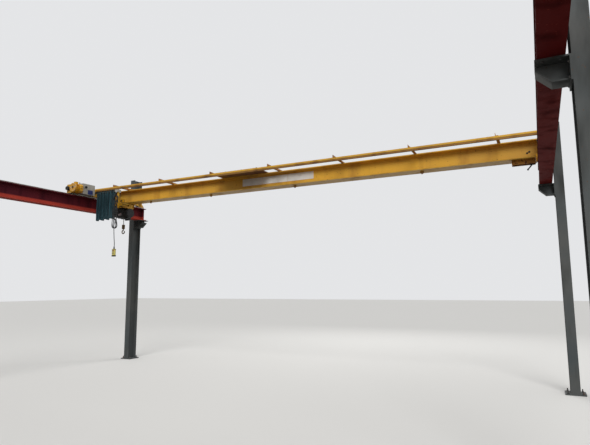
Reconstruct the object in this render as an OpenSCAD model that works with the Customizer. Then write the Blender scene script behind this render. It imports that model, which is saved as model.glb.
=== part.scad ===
// Single-girder overhead bridge crane on two column-borne runways.
// +X runs along the girder, +Y along the runways, +Z up; the origin is on the floor at the centre.

/* [Runways] */
// Number of bays along each runway
bays = 2; // [1:1:3]
// Distance between column centres along a runway
bay_l = 4800; // [4200:50:5400]
// Distance between the two rail centres
gauge = 8640; // [8200:10:9400]
// Height of the underside of the runway beams
beam_z = 3220; // [3100:10:3400]
// Depth of a runway beam
beam_h = 280; // [260:5:320]
// Flange width of a runway beam
beam_w = 185; // [170:5:200]
// Web thickness of a runway beam
beam_web = 9; // [7:1:12]
// Flange thickness of a runway beam
beam_flange = 14; // [10:1:18]
// Length of beam past the end column centres
beam_over = 60; // [40:5:100]
// Width of the square-bar rail
rail_w = 50; // [40:5:60]
// Height of the rail
rail_h = 30; // [20:5:40]
// Height of an end stop above the rail
stop_h = 130; // [120:5:160]
// Length of an end stop along the rail
stop_l = 120; // [80:5:140]

/* [Columns] */
// Height of a column
column_h = 4200; // [4000:20:4600]
// Flange width of a column
column_w = 130; // [120:5:150]
// Depth of a column between flange faces
column_d = 240; // [220:5:250]
// Web thickness of a column
column_web = 7; // [6:1:10]
// Flange thickness of a column
column_flange = 10; // [8:1:14]
// Gap between a column and the edge of its runway beam
column_gap = 34; // [10:1:50]
// Side of a square base plate
plate_w = 280; // [270:5:320]
// Thickness of a base plate
plate_t = 18; // [12:1:25]
// Spacing of the anchor bolt holes
anchor_span = 200; // [190:2:204]
// Diameter of an anchor bolt hole
anchor_d = 22; // [18:1:26]
// Depth of a bracket at its column
bracket_h = 170; // [150:5:220]
// Depth of a bracket at its tip
bracket_tip = 70; // [60:5:100]
// Width of a bracket's lower flange
bracket_web_w = 150; // [120:5:200]
// Thickness of bracket plates
bracket_t = 12; // [8:1:16]
// Reach of a bracket past the inner edge of its beam
bracket_reach = 15; // [10:1:40]

/* [Bridge] */
// Distance from the parked girder to the last columns
girder_back = 880; // [840:10:1100]
// Height of the underside of the girder
girder_z = 3455; // [3440:5:3500]
// Depth of the girder
girder_h = 270; // [250:5:290]
// Flange width of the girder
girder_w = 270; // [250:5:290]
// Web thickness of the girder
girder_web = 9; // [7:1:12]
// Flange thickness of the girder
girder_flange = 14; // [12:1:18]
// Distance from the girder to the side beam that carries the cables
side_reach = 530; // [480:5:560]
// Width of the square side beam
side_w = 30; // [28:1:40]
// Wall of the side beam
side_wall = 3; // [2:0.5:4]
// Number of arms between girder and side beam
arm_count = 7; // [5:1:9]
// Distance from a girder end to its first arm
arm_inset = 515; // [400:5:800]
// Distance from an arm's end to the girder's far edge
arm_margin = 20; // [10:5:40]
// Leg of an arm's angle section
arm_leg = 45; // [35:5:60]
// Thickness of an arm's angle section
arm_t = 5; // [4:1:8]
// Thickness of the bolted girder end plates
end_plate_t = 15; // [10:1:20]
// Width of the girder end plates along the truck
end_plate_w = 420; // [380:10:480]
// Length of the notch that lets a girder end pass over the runway
notch_l = 34; // [30:1:50]

/* [End trucks] */
// Length of an end truck
truck_l = 1860; // [1800:10:2000]
// Offset of the truck centre from the girder, towards the side beam
truck_shift = 220; // [180:10:260]
// Width of an end truck
truck_w = 130; // [120:2:140]
// Depth of an end truck
truck_h = 175; // [165:5:185]
// Wall of an end truck
truck_wall = 8; // [6:1:10]
// Clearance between truck and rail top
truck_gap = 15; // [12:1:20]
// Diameter of a truck wheel
wheel_d = 140; // [130:5:150]
// Distance from a truck end to its wheel centre
wheel_inset = 115; // [112:1:180]
// Length of a buffer
buffer_l = 60; // [50:5:70]
// Diameter of a buffer
buffer_d = 80; // [60:5:90]

/* [Drives and control box] */
// Diameter over the cooling ribs of a drive motor
motor_d = 180; // [160:5:190]
// Length of a drive motor's ribbed body
motor_l = 90; // [80:5:160]
// Number of cooling ribs round a drive motor
motor_ribs = 20; // [16:1:24]
// Length of a motor's fan cowl
cowl_l = 32; // [24:2:60]
// Length of a drive's gear housing along the truck
gear_l = 80; // [70:5:110]
// Height of a drive motor above the wheel axles
motor_rise = 38; // [20:1:60]
// Width of the control box along the truck
box_w = 300; // [240:5:320]
// Height of the control box
box_h = 215; // [190:5:260]
// Depth of the control box
box_d = 110; // [100:5:130]
// Thickness of the control box door
door_t = 25; // [20:1:35]

/* [Cable track] */
// Outer width and height of the slotted cable track
track_w = 30; // [28:1:36]
// Wall of the cable track
track_wall = 2.5; // [2:0.5:3]
// Width of the track's slot
track_slot = 12; // [10:1:13]
// Distance from the truck to the fixed cable clamp
clamp_inset = 40; // [38:1:60]
// Spacing of the cable carriers when bunched
carrier_pitch = 76; // [74:1:84]
// Drop of the longest cable loop
loop_drop = 605; // [500:5:700]
// Width of the flat cable
cable_w = 60; // [50:2:64]
// Thickness of the flat cable
cable_t = 10; // [8:1:12]
// Radius of a carrier's cable saddle
saddle_r = 18; // [16:1:19]

/* [Trolley and hoist] */
// Distance from the girder end to the parked trolley
trolley_park = 270; // [262:1:340]
// Diameter of a trolley wheel
trolley_wheel_d = 80; // [70:2:90]
// Distance between trolley wheel centres
trolley_base = 150; // [130:5:170]
// Thickness of a trolley side plate
side_plate_t = 10; // [8:1:14]
// Length of a trolley side plate
side_plate_l = 280; // [260:5:300]
// Clearance between girder flange and trolley side plate
flange_gap = 6; // [5:1:10]
// Diameter of the tie bars under the flange
tie_d = 24; // [20:1:28]
// Length of the hoist
hoist_l = 400; // [380:5:420]
// Diameter of the hoist's motor and gear ends
hoist_d = 200; // [180:5:220]
// Length of the hoist's middle housing
hoist_mid = 150; // [130:5:180]
// Diameter of the load chain's steel
chain_d = 7; // [6:1:8]
// Number of chain links that show
chain_links = 7; // [5:2:9]
// Diameter of the hook's steel
hook_d = 22; // [18:1:26]
// Diameter of the pendant's cable
cord_d = 14; // [12:1:16]
// Length of the folded and tied part of the pendant's cable
hank_l = 700; // [500:10:760]
// Height of the pendant's top above the floor
pendant_top = 2410; // [2200:10:2500]
// Height of the pendant
pendant_h = 150; // [130:5:180]
// Width of the pendant
pendant_w = 70; // [60:5:80]
// Length of the trolley stop's foot at the left end
left_stop_l = 86; // [70:1:88]
// Length of the trolley stop's foot at the right end
right_stop_l = 316; // [200:2:320]
// Drop of a trolley stop under the girder
stop_drop = 68; // [62:1:72]

/* [Hidden] */

$fn = 48;
seat = 0.3;
rail_x = gauge / 2;
runway_l = bays * bay_l + 2 * beam_over;
rail_z = beam_z + beam_h;
rail_top = rail_z + rail_h;
column_x = rail_x + beam_w / 2 + column_gap + column_w / 2;
girder_y = bays / 2 * bay_l - girder_back;
bracket_l = column_x - column_w / 2 - rail_x + beam_w / 2 + bracket_reach;
truck_y = girder_y - truck_shift;
truck_z = rail_top + truck_gap;
beam_pass = 35;
truck_x = rail_x;
truck_face = truck_x - truck_w / 2;
axle_z = rail_top + seat + wheel_d / 2;
axle_y = truck_l / 2 - wheel_inset;
girder_l = 2 * (truck_face - end_plate_t);
girder_top = girder_z + girder_h;
side_y = girder_y - side_reach;
track_z = girder_top - side_w - track_w;
carriers = 6;
lead_x = clamp_inset - truck_face + (carriers + 1) * carrier_pitch;
trolley_x = trolley_park - girder_l / 2;
roller_play = 4;
roller_d = track_w - 2 * track_wall - roller_play;
roller_w = 8;
neck_t = 5;
hanger_w = cable_w + 16;
hanger_drop = 14;
hanger_t = 4;
bend_play = 2.3;
saddle_top = track_z - hanger_drop - hanger_t - cable_t - seat;
trolley_plate_y = girder_w / 2 + flange_gap;
tread_z = girder_z + girder_flange;
tie_z = girder_z - 70;
lead_box = [76, 90, 50];
lead_box_x = lead_x + 70;
lead_box_z = track_z - hanger_drop - lead_box[2];
hoist_gap = 30;
side_plate_low = 30;
hoist_z = tie_z - tie_d / 2 - hoist_gap - hoist_d / 2;
motor_gap = 3;
motor_x = truck_face - motor_d / 2 - motor_gap;
motor_z = axle_z + motor_rise;
stiffener_t = 10;
stiffener_edge = 12;
cord_y = side_y - 38;
hank_w = 120;
hank_d = 44;
hank_top = lead_box_z - 70;
hank_bottom = hank_top - hank_l;

yellow = [0.80, 0.58, 0.13];
maroon = [0.34, 0.09, 0.09];
column_grey = [0.27, 0.29, 0.28];
dark = [0.12, 0.13, 0.14];
steel = [0.62, 0.62, 0.63];
rubber = [0.08, 0.08, 0.08];

// A rounded slot open on one side, the side of a rolled section
module pocket(w, h, r) {
    translate([r, 0]) square([w, h]);
    translate([0, r]) square([w, h - 2 * r]);
    translate([r, r]) circle(r);
    translate([r, h - r]) circle(r);
}

// Outline of a rolled H section with root fillets, centred
module h_outline(h, b, web, flange, r) {
    difference() {
        square([b, h], center = true);
        for (side = [0, 1]) mirror([side, 0]) translate([web / 2, flange - h / 2])
            pocket(b / 2, h - 2 * flange, r);
    }
}

// Extrudes children along +X from the centre
module along_x(l) {
    rotate([90, 0, 90]) translate([0, 0, -l / 2]) linear_extrude(l) children();
}

// Extrudes children along Y from the centre
module along_y(l) {
    rotate([90, 0, 0]) translate([0, 0, -l / 2]) linear_extrude(l) children();
}

// Square outline with rounded corners
module round_box(w, h, r) {
    translate([-w / 2 + r, -h / 2]) square([w - 2 * r, h]);
    translate([-w / 2, -h / 2 + r]) square([w, h - 2 * r]);
    for (i = [-1, 1], j = [-1, 1]) translate([i * (w / 2 - r), j * (h / 2 - r)]) circle(r);
}

module rod_y(d, l) {
    rotate([90, 0, 0]) cylinder(d = d, h = l, center = true);
}

module rod_x(d, l) {
    rotate([0, 90, 0]) cylinder(d = d, h = l, center = true);
}

module each_side() {
    for (side = [0, 1]) mirror([side, 0, 0]) children();
}

module each_column(x) {
    for (i = [0 : bays]) translate([x, (i - bays / 2) * bay_l, 0]) children();
}

// Runways

module column() {
    translate([0, 0, plate_t]) linear_extrude(column_h - plate_t)
        h_outline(column_d, column_w, column_web, column_flange, 12);
}

module left_columns() {
    color(column_grey) each_column(-column_x) column();
}

module right_columns() {
    color(column_grey) each_column(column_x) column();
}

module base_plate() {
    difference() {
        linear_extrude(plate_t) square(plate_w, center = true);
        for (i = [-1, 1], j = [-1, 1]) translate([i, j, 0] * anchor_span / 2 + [0, 0, -1])
            cylinder(d = anchor_d, h = plate_t + 2);
    }
}

module base_plates() {
    color(column_grey) for (x = [-column_x, column_x]) each_column(x) base_plate();
}

// Tapered bracket: top plate, web and sloping lower flange on a back plate
module bracket() {
    back = bracket_h + 20;
    knee = bracket_l * 0.55;
    translate([-bracket_l, -column_d / 2, -bracket_t]) cube([bracket_l, column_d, bracket_t]);
    translate([-bracket_t, -column_d / 2, -back]) cube([bracket_t, column_d, back]);
    rotate([90, 0, 0]) translate([0, 0, -bracket_t / 2]) linear_extrude(bracket_t)
        polygon([[0, -1], [-bracket_l, -1], [-bracket_l, -bracket_tip],
            [-knee, -bracket_h], [0, -bracket_h]]);
    rotate([90, 0, 0]) translate([0, 0, -bracket_web_w / 2]) linear_extrude(bracket_web_w)
        polygon([[0, -bracket_h + bracket_t], [4 - knee, -bracket_h + bracket_t],
            [-bracket_l, -bracket_tip + bracket_t], [-bracket_l, -bracket_tip],
            [-knee, -bracket_h], [0, -bracket_h]]);
}

module brackets() {
    color(column_grey) each_side() each_column(column_x - column_w / 2)
        translate([0, 0, beam_z]) bracket();
}

// Runway beam with a stiffener each side of the web over every bracket
module runway_beam() {
    translate([0, 0, beam_z + beam_h / 2]) along_y(runway_l)
        h_outline(beam_h, beam_w, beam_web, beam_flange, 18);
    each_column(0) translate([stiffener_edge - beam_w / 2, -stiffener_t / 2, beam_z + beam_flange])
        cube([beam_w - 2 * stiffener_edge, stiffener_t, beam_h - 2 * beam_flange]);
}

module left_runway_beam() {
    color(maroon) translate([-rail_x, 0, 0]) runway_beam();
}

module right_runway_beam() {
    color(maroon) translate([rail_x, 0, 0]) runway_beam();
}

module runway_rails() {
    color(steel) each_side() translate([rail_x - rail_w / 2, -runway_l / 2, rail_z])
        cube([rail_w, runway_l, rail_h]);
}

// Welded stop: a face plate across the rail, backed by a gusset
module end_stop() {
    top = rail_h + stop_h;
    face_w = 2 * rail_w;
    face_t = 15;
    translate([-face_w / 2, 0, rail_h]) cube([face_w, face_t, stop_h]);
    rotate([90, 0, 90]) translate([0, 0, -face_t / 2]) linear_extrude(face_t)
        polygon([[1, rail_h], [stop_l, rail_h], [stop_l, rail_h + 20], [face_t, top], [1, top]]);
}

module end_stops() {
    color(yellow) each_side() for (end = [0, 1]) mirror([0, end, 0])
        translate([rail_x, runway_l / 2 - stop_l, rail_z]) end_stop();
}

// Bridge

// Rolled girder, notched below at both ends where it passes over the runways
module main_girder() {
    notch_h = rail_z + beam_pass - girder_z;
    color(yellow) translate([0, girder_y, girder_z]) difference() {
        translate([0, 0, girder_h / 2]) along_x(girder_l)
            h_outline(girder_h, girder_w, girder_web, girder_flange, 18);
        each_side() translate([girder_l / 2 - notch_l, -girder_w / 2 - 1, -1])
            cube([notch_l + 1, girder_w + 2, notch_h + 1]);
    }
}

// Plate on each girder end, bolted through to the truck
module end_plates() {
    margin = 5;
    hole_d = 18;
    hole_inset = 30;
    plate_h = truck_h - 2 * margin;
    color(yellow) each_side()
        translate([girder_l / 2, girder_y - end_plate_w / 2, truck_z + margin]) difference() {
            cube([end_plate_t, end_plate_w, plate_h]);
            for (y = [hole_inset, end_plate_w - hole_inset], z = [hole_inset, plate_h - hole_inset])
                translate([-1, y, z]) rotate([0, 90, 0]) cylinder(d = hole_d, h = end_plate_t + 2);
        }
}

// Box-section truck, open below over each wheel
module end_truck() {
    pocket_l = wheel_d + 44;
    cap_t = 12;
    translate([0, truck_y, truck_z]) difference() {
        translate([0, 0, truck_h / 2]) along_y(truck_l) difference() {
            round_box(truck_w, truck_h, 10);
            round_box(truck_w - 2 * truck_wall, truck_h - 2 * truck_wall, 4);
        }
        for (end = [-1, 1]) translate([0, end * axle_y, 0])
            cube([truck_w - 2 * truck_wall, pocket_l, 2 * truck_wall + 2], center = true);
    }
    for (end = [-1, 1]) translate([0, truck_y + end * (truck_l - cap_t) / 2, truck_z + truck_h / 2])
        cube([truck_w - 2 * truck_wall + 1, cap_t, truck_h - 2 * truck_wall + 1], center = true);
}

module left_end_truck() {
    color(yellow) translate([-truck_x, 0, 0]) end_truck();
}

module right_end_truck() {
    color(yellow) translate([truck_x, 0, 0]) end_truck();
}

// Double-flanged wheel on its axle, which bears in the truck's walls
module truck_wheel() {
    tread = rail_w + 10;
    lip_t = 12;
    lip_h = 12;
    axle_d = 36;
    rotate([0, 90, 0]) {
        cylinder(d = wheel_d, h = tread, center = true);
        for (s = [-1, 1]) translate([0, 0, s * (tread + lip_t) / 2])
            cylinder(d = wheel_d + 2 * lip_h, h = lip_t, center = true);
        cylinder(d = axle_d, h = truck_w - 2 * truck_wall, center = true);
    }
}

module truck_wheels() {
    color(steel) each_side() for (end = [-1, 1])
        translate([truck_x, truck_y + end * axle_y, axle_z]) truck_wheel();
}

module buffers() {
    color(rubber) each_side() for (end = [0, 1])
        translate([truck_x, truck_y, truck_z + truck_h / 2]) mirror([0, end, 0])
            translate([0, truck_l / 2, 0]) rotate([-90, 0, 0]) {
                cylinder(d = buffer_d * 0.7, h = buffer_l * 0.3);
                translate([0, 0, buffer_l * 0.3]) cylinder(d = buffer_d, h = buffer_l * 0.7);
            }
}

module side_beam() {
    inner = side_w - 2 * side_wall;
    color(yellow) translate([0, side_y, girder_top - side_w / 2]) along_x(2 * truck_face) difference() {
        round_box(side_w, side_w, 5);
        round_box(inner, inner, 2);
    }
}

// Slotted track that hangs under the side beam
module cable_track() {
    inner = track_w - 2 * track_wall;
    end_gap = 10;
    l = 2 * (truck_face - end_gap);
    color(steel) translate([0, side_y, track_z + track_w / 2]) along_x(l) difference() {
        square(track_w, center = true);
        square(inner, center = true);
        translate([-track_slot / 2, -track_w / 2 - 1]) square([track_slot, track_wall + 2]);
    }
}

module side_beam_arms() {
    arm_l = side_reach + side_w / 2 + girder_w / 2 - arm_margin;
    step = (girder_l - 2 * arm_inset) / (arm_count - 1);
    color(yellow) for (i = [0 : arm_count - 1])
        translate([arm_inset - girder_l / 2 + i * step, side_y - side_w / 2, girder_top]) {
            translate([-arm_leg / 2, 0, 0]) cube([arm_leg, arm_l, arm_t]);
            translate([-arm_leg / 2, 0, 0]) cube([arm_t, arm_l, arm_leg]);
        }
}

// Small drilled lugs under the bottom flange
module girder_lugs() {
    places = [-0.377, -0.191, 0.03, 0.301];
    r = 22;
    t = 10;
    color(yellow) for (x = places) translate([x * girder_l, girder_y, girder_z])
        rotate([90, 0, 0]) translate([0, 0, -t / 2]) difference() {
            linear_extrude(t) union() {
                translate([-1.25 * r, -r]) square([2.5 * r, r]);
                translate([0, -r]) circle(r = r);
            }
            translate([0, -1.1 * r, -1]) cylinder(d = 0.8 * r, h = t + 2);
        }
}

// Stop under a girder end: a face plate and two cheeks on a long foot
module trolley_stop(foot_l) {
    w = 120;
    t = 12;
    translate([girder_l / 2 - notch_l - 10 - foot_l, girder_y - w / 2, girder_z]) {
        translate([0, 0, -t]) cube([foot_l, w, t]);
        translate([0, 0, -stop_drop]) cube([t, w, stop_drop - 1]);
        for (y = [0, w - t]) translate([1, y, -stop_drop]) cube([foot_l - 1, t, stop_drop - 1]);
    }
}

module trolley_stops() {
    color(yellow) {
        trolley_stop(right_stop_l);
        mirror([1, 0, 0]) trolley_stop(left_stop_l);
    }
}

// Places children at both drives: the right truck is the left one turned half round
module each_drive() {
    for (turn = [0, 180]) translate([0, truck_y, 0]) rotate([0, 0, turn])
        translate([0, -axle_y, 0]) children();
}

module drive_gearboxes() {
    low = truck_z + 8;
    w = motor_d - 20;
    top = motor_z + motor_d / 2 - 8;
    slope = 30;
    color(yellow) each_drive() translate([-truck_face, 0, 0])
        rotate([90, 0, 0]) translate([0, 0, -gear_l / 2]) linear_extrude(gear_l)
            polygon([[seat, low], [w - slope, low], [w, low + slope], [w, top - slope],
                [w - slope, top], [slope, top], [seat, top - slope]]);
}

module drive_motors() {
    color(yellow) each_drive() translate([-motor_x, -gear_l / 2 - motor_l, motor_z]) rotate([-90, 0, 0]) {
        flange_t = 14;
        rib = [24, 4];
        cylinder(d = motor_d - 36, h = motor_l);
        for (i = [0 : motor_ribs - 1]) rotate(i * 360 / motor_ribs)
            translate([motor_d / 2 - rib[0], -rib[1] / 2, 8]) cube([rib[0], rib[1], motor_l - flange_t - 12]);
        translate([0, 0, motor_l - flange_t]) cylinder(d = motor_d - 10, h = flange_t);
    }
}

module motor_cowls() {
    color(steel) each_drive() translate([-motor_x, -gear_l / 2 - motor_l - cowl_l, motor_z])
        rotate([-90, 0, 0]) difference() {
            cylinder(d = motor_d - 6, h = cowl_l);
            translate([0, 0, -1]) cylinder(d = motor_d / 3, h = 12);
        }
}

box_y = truck_y - axle_y + gear_l / 2 + 10;
box_x = -truck_face + seat;
box_z = truck_z - 5;

module control_box() {
    color([0.75, 0.75, 0.72]) translate([box_x + box_d / 2, box_y + box_w / 2, box_z])
        linear_extrude(box_h) round_box(box_d, box_w, 8);
}

module control_box_door() {
    color([0.8, 0.8, 0.77]) translate([box_x + box_d, box_y + box_w / 2, box_z + box_h / 2])
        rotate([90, 0, 90]) {
            linear_extrude(door_t) round_box(box_w, box_h, 10);
            translate([-box_w / 4, box_h / 6, door_t]) cylinder(d = 34, h = 22);
        }
}

// Festoon

// Place of a saddle along the girder: 0 is the fixed clamp and the last one is the lead carriage
function carrier_x(i) = lead_x - (carriers + 1 - i) * carrier_pitch;

// Roller carrier: rollers in the track, a neck through its slot, a yoke and the cable saddle
module carrier(x) {
    roller_z = track_z + track_wall + seat + roller_d / 2;
    yoke_z = track_z - hanger_drop;
    ear_h = yoke_z - saddle_top + saddle_r;
    neck_l = 60;
    wheel_x = 18;
    ear_w = 24;
    ear_t = 4;
    color(dark) translate([x, side_y, 0]) {
        for (s = [-1, 1], t = [-1, 1]) translate([t * wheel_x, s * (neck_t + roller_w) / 2, roller_z])
            rod_y(roller_d, roller_w);
        translate([-neck_l / 2, -neck_t / 2, yoke_z]) cube([neck_l, neck_t, roller_z - yoke_z + 6]);
        translate([-wheel_x, -hanger_w / 2, yoke_z - hanger_t]) cube([2 * wheel_x, hanger_w, hanger_t]);
        for (s = [0, 1]) mirror([0, s, 0]) translate([-ear_w / 2, hanger_w / 2 - ear_t, yoke_z - ear_h])
            cube([ear_w, ear_t, ear_h]);
        translate([0, 0, saddle_top - saddle_r]) intersection() {
            rod_y(2 * (saddle_r - bend_play), hanger_w - 2);
            translate([-50, -50, -4]) cube(100);
        }
    }
}

module festoon_carrier_1() carrier(carrier_x(1));
module festoon_carrier_2() carrier(carrier_x(2));
module festoon_carrier_3() carrier(carrier_x(3));
module festoon_carrier_4() carrier(carrier_x(4));
module festoon_carrier_5() carrier(carrier_x(5));
module festoon_carrier_6() carrier(carrier_x(6));

module festoon_clamp() carrier(carrier_x(0));

module lead_carriage() {
    carrier(lead_x);
    color([0.8, 0.8, 0.77]) translate([lead_box_x, side_y, lead_box_z])
        linear_extrude(lead_box[2]) round_box(lead_box[0], lead_box[1], 6);
    color(dark) translate([lead_x + 10, side_y - neck_t / 2, track_z - hanger_drop])
        cube([lead_box_x - lead_x + 20, neck_t, 8]);
}

// One hanging loop from saddle to saddle, as offsets from the saddle and heights under it
strand = 23.5;
loop_mid = carrier_pitch / 2;
loop_half = [[0, 5], [17, -2], [strand, -25], [strand, 60 - loop_drop],
    [(strand + loop_mid) / 2, 14 - loop_drop]];
loop_shape = concat(loop_half, [[loop_mid, -loop_drop]],
    [for (k = [4 : -1 : 1]) [carrier_pitch - loop_half[k][0], loop_half[k][1]]]);
loop_depths = [1, 0.97, 1.0, 0.96, 0.99, 0.95, 0.98];

function loop_point(i, p) =
    [carrier_x(i) + p[0], saddle_top + (p[1] < -loop_drop / 2 ? p[1] * loop_depths[i] : p[1])];

function unit(v) = v / norm(v);

// Direction of a flat route at a point, from its neighbours
function heading(r, i) = unit(r[min(i + 1, len(r) - 1)] - r[max(i - 1, 0)]);

// Flat-oval ring of the cable, eight sides
cable_ring = [[-0.5, -0.2], [-0.42, -0.5], [0.42, -0.5], [0.5, -0.2],
    [0.5, 0.2], [0.42, 0.5], [-0.42, 0.5], [-0.5, 0.2]];

function swept_faces(rings, sides) = concat(
    [[for (k = [0 : sides - 1]) k]],
    [for (i = [0 : rings - 2], k = [0 : sides - 1]) let (n = (k + 1) % sides)
        [i * sides + n, i * sides + k, (i + 1) * sides + k, (i + 1) * sides + n]],
    [[for (k = [sides - 1 : -1 : 0]) (rings - 1) * sides + k]]);

module festoon_cable() {
    route = concat([for (i = [0 : carriers], p = loop_shape) loop_point(i, p)],
        [[lead_x, saddle_top + 5]]);
    points = [for (i = [0 : len(route) - 1], q = cable_ring)
        let (h = heading(route, i), up = [-h[1], h[0]], p = route[i] + up * q[1] * cable_t)
            [p[0], side_y + q[0] * cable_w, p[1]]];
    color([0.10, 0.17, 0.19]) polyhedron(points, swept_faces(len(route), len(cable_ring)));
}

// Trolley and hoist

module each_trolley_wheel() {
    for (s = [0, 1], t = [-1, 1]) translate([trolley_x + t * trolley_base / 2, girder_y, 0])
        mirror([0, s, 0]) children();
}

module trolley_side_plates() {
    low = tie_z - side_plate_low;
    high = tread_z + trolley_wheel_d;
    color(yellow) difference() {
        for (s = [0, 1]) translate([trolley_x, girder_y, (low + high) / 2]) mirror([0, s, 0])
            translate([0, trolley_plate_y, 0]) rotate([-90, 0, 0]) linear_extrude(side_plate_t)
                round_box(side_plate_l, high - low, 40);
        for (t = [-1, 1]) translate([trolley_x + t * trolley_base / 2, girder_y, tie_z])
            rod_y(tie_d + 0.1, 2 * trolley_plate_y + 4 * side_plate_t);
    }
}

// Plate across each trolley end that meets the stops, cut out for the girder's lugs
module trolley_end_plates() {
    t = 10;
    low = hoist_z + hoist_d / 2 + 8;
    top = girder_z - 10;
    cut_w = 50;
    color(yellow) for (s = [0, 1]) translate([trolley_x, girder_y, 0]) mirror([s, 0, 0])
        translate([side_plate_l / 2 - 25, -trolley_plate_y, low]) difference() {
            cube([t, 2 * trolley_plate_y, top - low]);
            translate([-1, trolley_plate_y - cut_w / 2, tie_z + 16 - low]) cube([t + 2, cut_w, top]);
        }
}

module trolley_wheels() {
    tread = 30;
    hub_l = 12;
    color(steel) each_trolley_wheel()
        translate([0, trolley_plate_y - tread - hub_l, tread_z + seat + trolley_wheel_d / 2])
            rotate([-90, 0, 0]) {
                cylinder(d = trolley_wheel_d, h = tread);
                translate([0, 0, tread]) cylinder(d = trolley_wheel_d / 3, h = hub_l);
            }
}

module trolley_tie_bars() {
    color(steel) for (t = [-1, 1]) translate([trolley_x + t * trolley_base / 2, girder_y, tie_z]) {
        nut_h = 16;
        rod_y(tie_d, 2 * (trolley_plate_y + side_plate_t + nut_h) - 8);
        for (s = [-1, 1]) translate([0, s * (trolley_plate_y + side_plate_t + nut_h / 2), 0])
            rotate([90, 0, 0]) cylinder(d = 1.6 * tie_d, h = nut_h, center = true, $fn = 6);
    }
}

// Middle housing with two hanger ears on each tie bar
module hoist_body() {
    ear_y = 60;
    ear_t = 14;
    ear_h = 60;
    color(dark) translate([trolley_x, girder_y, 0]) {
        difference() {
            for (y = [-ear_y, ear_y]) translate([0, y, tie_z - ear_h / 4]) rotate([90, 0, 0])
                translate([0, 0, -ear_t / 2]) linear_extrude(ear_t)
                    round_box(trolley_base + 50, ear_h, ear_h / 3);
            for (t = [-1, 1]) translate([t * trolley_base / 2, 0, tie_z])
                rod_y(tie_d + 0.1, 2 * ear_y + 4 * ear_t);
        }
        translate([0, 0, hoist_z]) along_x(hoist_mid) round_box(hoist_d + 20, hoist_d + 20, 40);
    }
}

module hoist_motor() {
    l = (hoist_l - hoist_mid) / 2;
    cap_l = 30;
    ribs = 16;
    rib = [20, 4];
    color(dark) translate([trolley_x + hoist_mid / 2, girder_y, hoist_z]) rotate([0, 90, 0]) {
        cylinder(d = hoist_d - 30, h = l - cap_l);
        for (i = [0 : ribs - 1]) rotate(i * 360 / ribs)
            translate([hoist_d / 2 - rib[0] - 4, -rib[1] / 2, 1]) cube([rib[0], rib[1], l - cap_l + 10]);
        translate([0, 0, l - cap_l]) cylinder(d = hoist_d, h = cap_l);
    }
}

module hoist_gear_cover() {
    l = (hoist_l - hoist_mid) / 2;
    color(dark) translate([trolley_x - hoist_mid / 2, girder_y, hoist_z]) rotate([0, -90, 0]) {
        cylinder(d = hoist_d, h = l * 0.6);
        translate([0, 0, l * 0.6]) cylinder(d = hoist_d - 40, h = l * 0.4);
    }
}

// Open-topped bucket for the slack chain
module chain_bucket() {
    size = [150, 50, 190];
    wall = 4;
    out = hoist_d / 2 + 40;
    color(rubber) translate([trolley_x - 20, girder_y + out, hoist_z - hoist_d / 2 - 30]) difference() {
        linear_extrude(size[2]) round_box(size[0], size[1], 16);
        translate([0, 0, wall]) linear_extrude(size[2])
            round_box(size[0] - 2 * wall, size[1] - 2 * wall, 12);
    }
    color(rubber) translate([trolley_x - 60, girder_y + hoist_d / 2 + 10, hoist_z + 20])
        cube([80, out - size[1] / 2 - hoist_d / 2 - 8, 30]);
}

link_l = 5 * chain_d;
link_pitch = link_l - 2 * chain_d - seat;
chain_top = hoist_z - hoist_d / 2 - 10;

// Round-steel link: two bends and two straights
module chain_link() {
    bend = 1.15 * chain_d;
    run = link_l / 2 - chain_d / 2 - bend;
    rotate([90, 0, 0]) for (end = [0, 1]) mirror([0, end, 0]) translate([0, run, 0]) {
        rotate_extrude(angle = 180) translate([bend, 0]) circle(d = chain_d, $fn = 16);
        for (s = [-1, 1]) translate([s * bend, -run, 0]) rotate([-90, 0, 0])
            cylinder(d = chain_d, h = run, $fn = 16);
    }
}

module load_chain() {
    color(steel) translate([trolley_x, girder_y, chain_top - link_l / 2 - seat])
        for (i = [0 : chain_links - 1]) translate([0, 0, -i * link_pitch])
            rotate([0, 0, 90 * (i % 2)]) chain_link();
}

// Hook block: a round housing, a shank and the forged hook
module hook() {
    block_z = chain_top - seat - (chain_links - 1) * link_pitch - link_l;
    bowl = 1.6 * hook_d;
    block_h = 92;
    pin_d = 6;
    color([0.75, 0.55, 0.12]) translate([trolley_x, girder_y, block_z - 70]) {
        difference() {
            cylinder(d = 64, h = block_h);
            translate([0, 0, block_h]) cube([chain_d * 4.2, chain_d + 3, 50], center = true);
            translate([0, 0, block_h]) cube([chain_d + 3, chain_d * 4.2, 50], center = true);
        }
        translate([0, 0, 70 + chain_d + pin_d / 2 + seat]) rod_y(pin_d, 60);
    }
    color(dark) translate([trolley_x, girder_y, block_z - 70]) {
        translate([0, 0, -30]) cylinder(d = hook_d, h = 34);
        translate([0, 0, -30 - bowl]) rotate([90, 0, 0]) {
            rotate([0, 0, 90]) rotate_extrude(angle = 285) translate([bowl, 0]) circle(d = hook_d);
            rotate([0, 0, 15]) translate([bowl, 0, 0]) sphere(d = hook_d + 1);
            translate([0, bowl, 0]) sphere(d = hook_d + 6);
        }
    }
}

// Bent bar from the trolley, past the hanging cable and up to the lead carriage
module tow_arm() {
    bar = 30;
    bar_t = 10;
    plate_y = girder_y - trolley_plate_y - side_plate_t;
    out_y = plate_y - 70;
    near_x = trolley_x + side_plate_l / 2 - bar - 10;
    far_x = lead_box_x;
    low = tie_z - bar_t / 2;
    color(yellow) {
        translate([near_x, out_y, low]) cube([bar, plate_y - out_y, bar_t]);
        translate([near_x, out_y, low]) cube([far_x + bar - near_x, bar, bar_t]);
        translate([far_x, side_y - bar / 2, low]) cube([bar, out_y - side_y + bar, bar_t]);
        translate([far_x, side_y - bar / 2, low]) cube([bar, bar, lead_box_z - low - seat]);
    }
}

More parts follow.
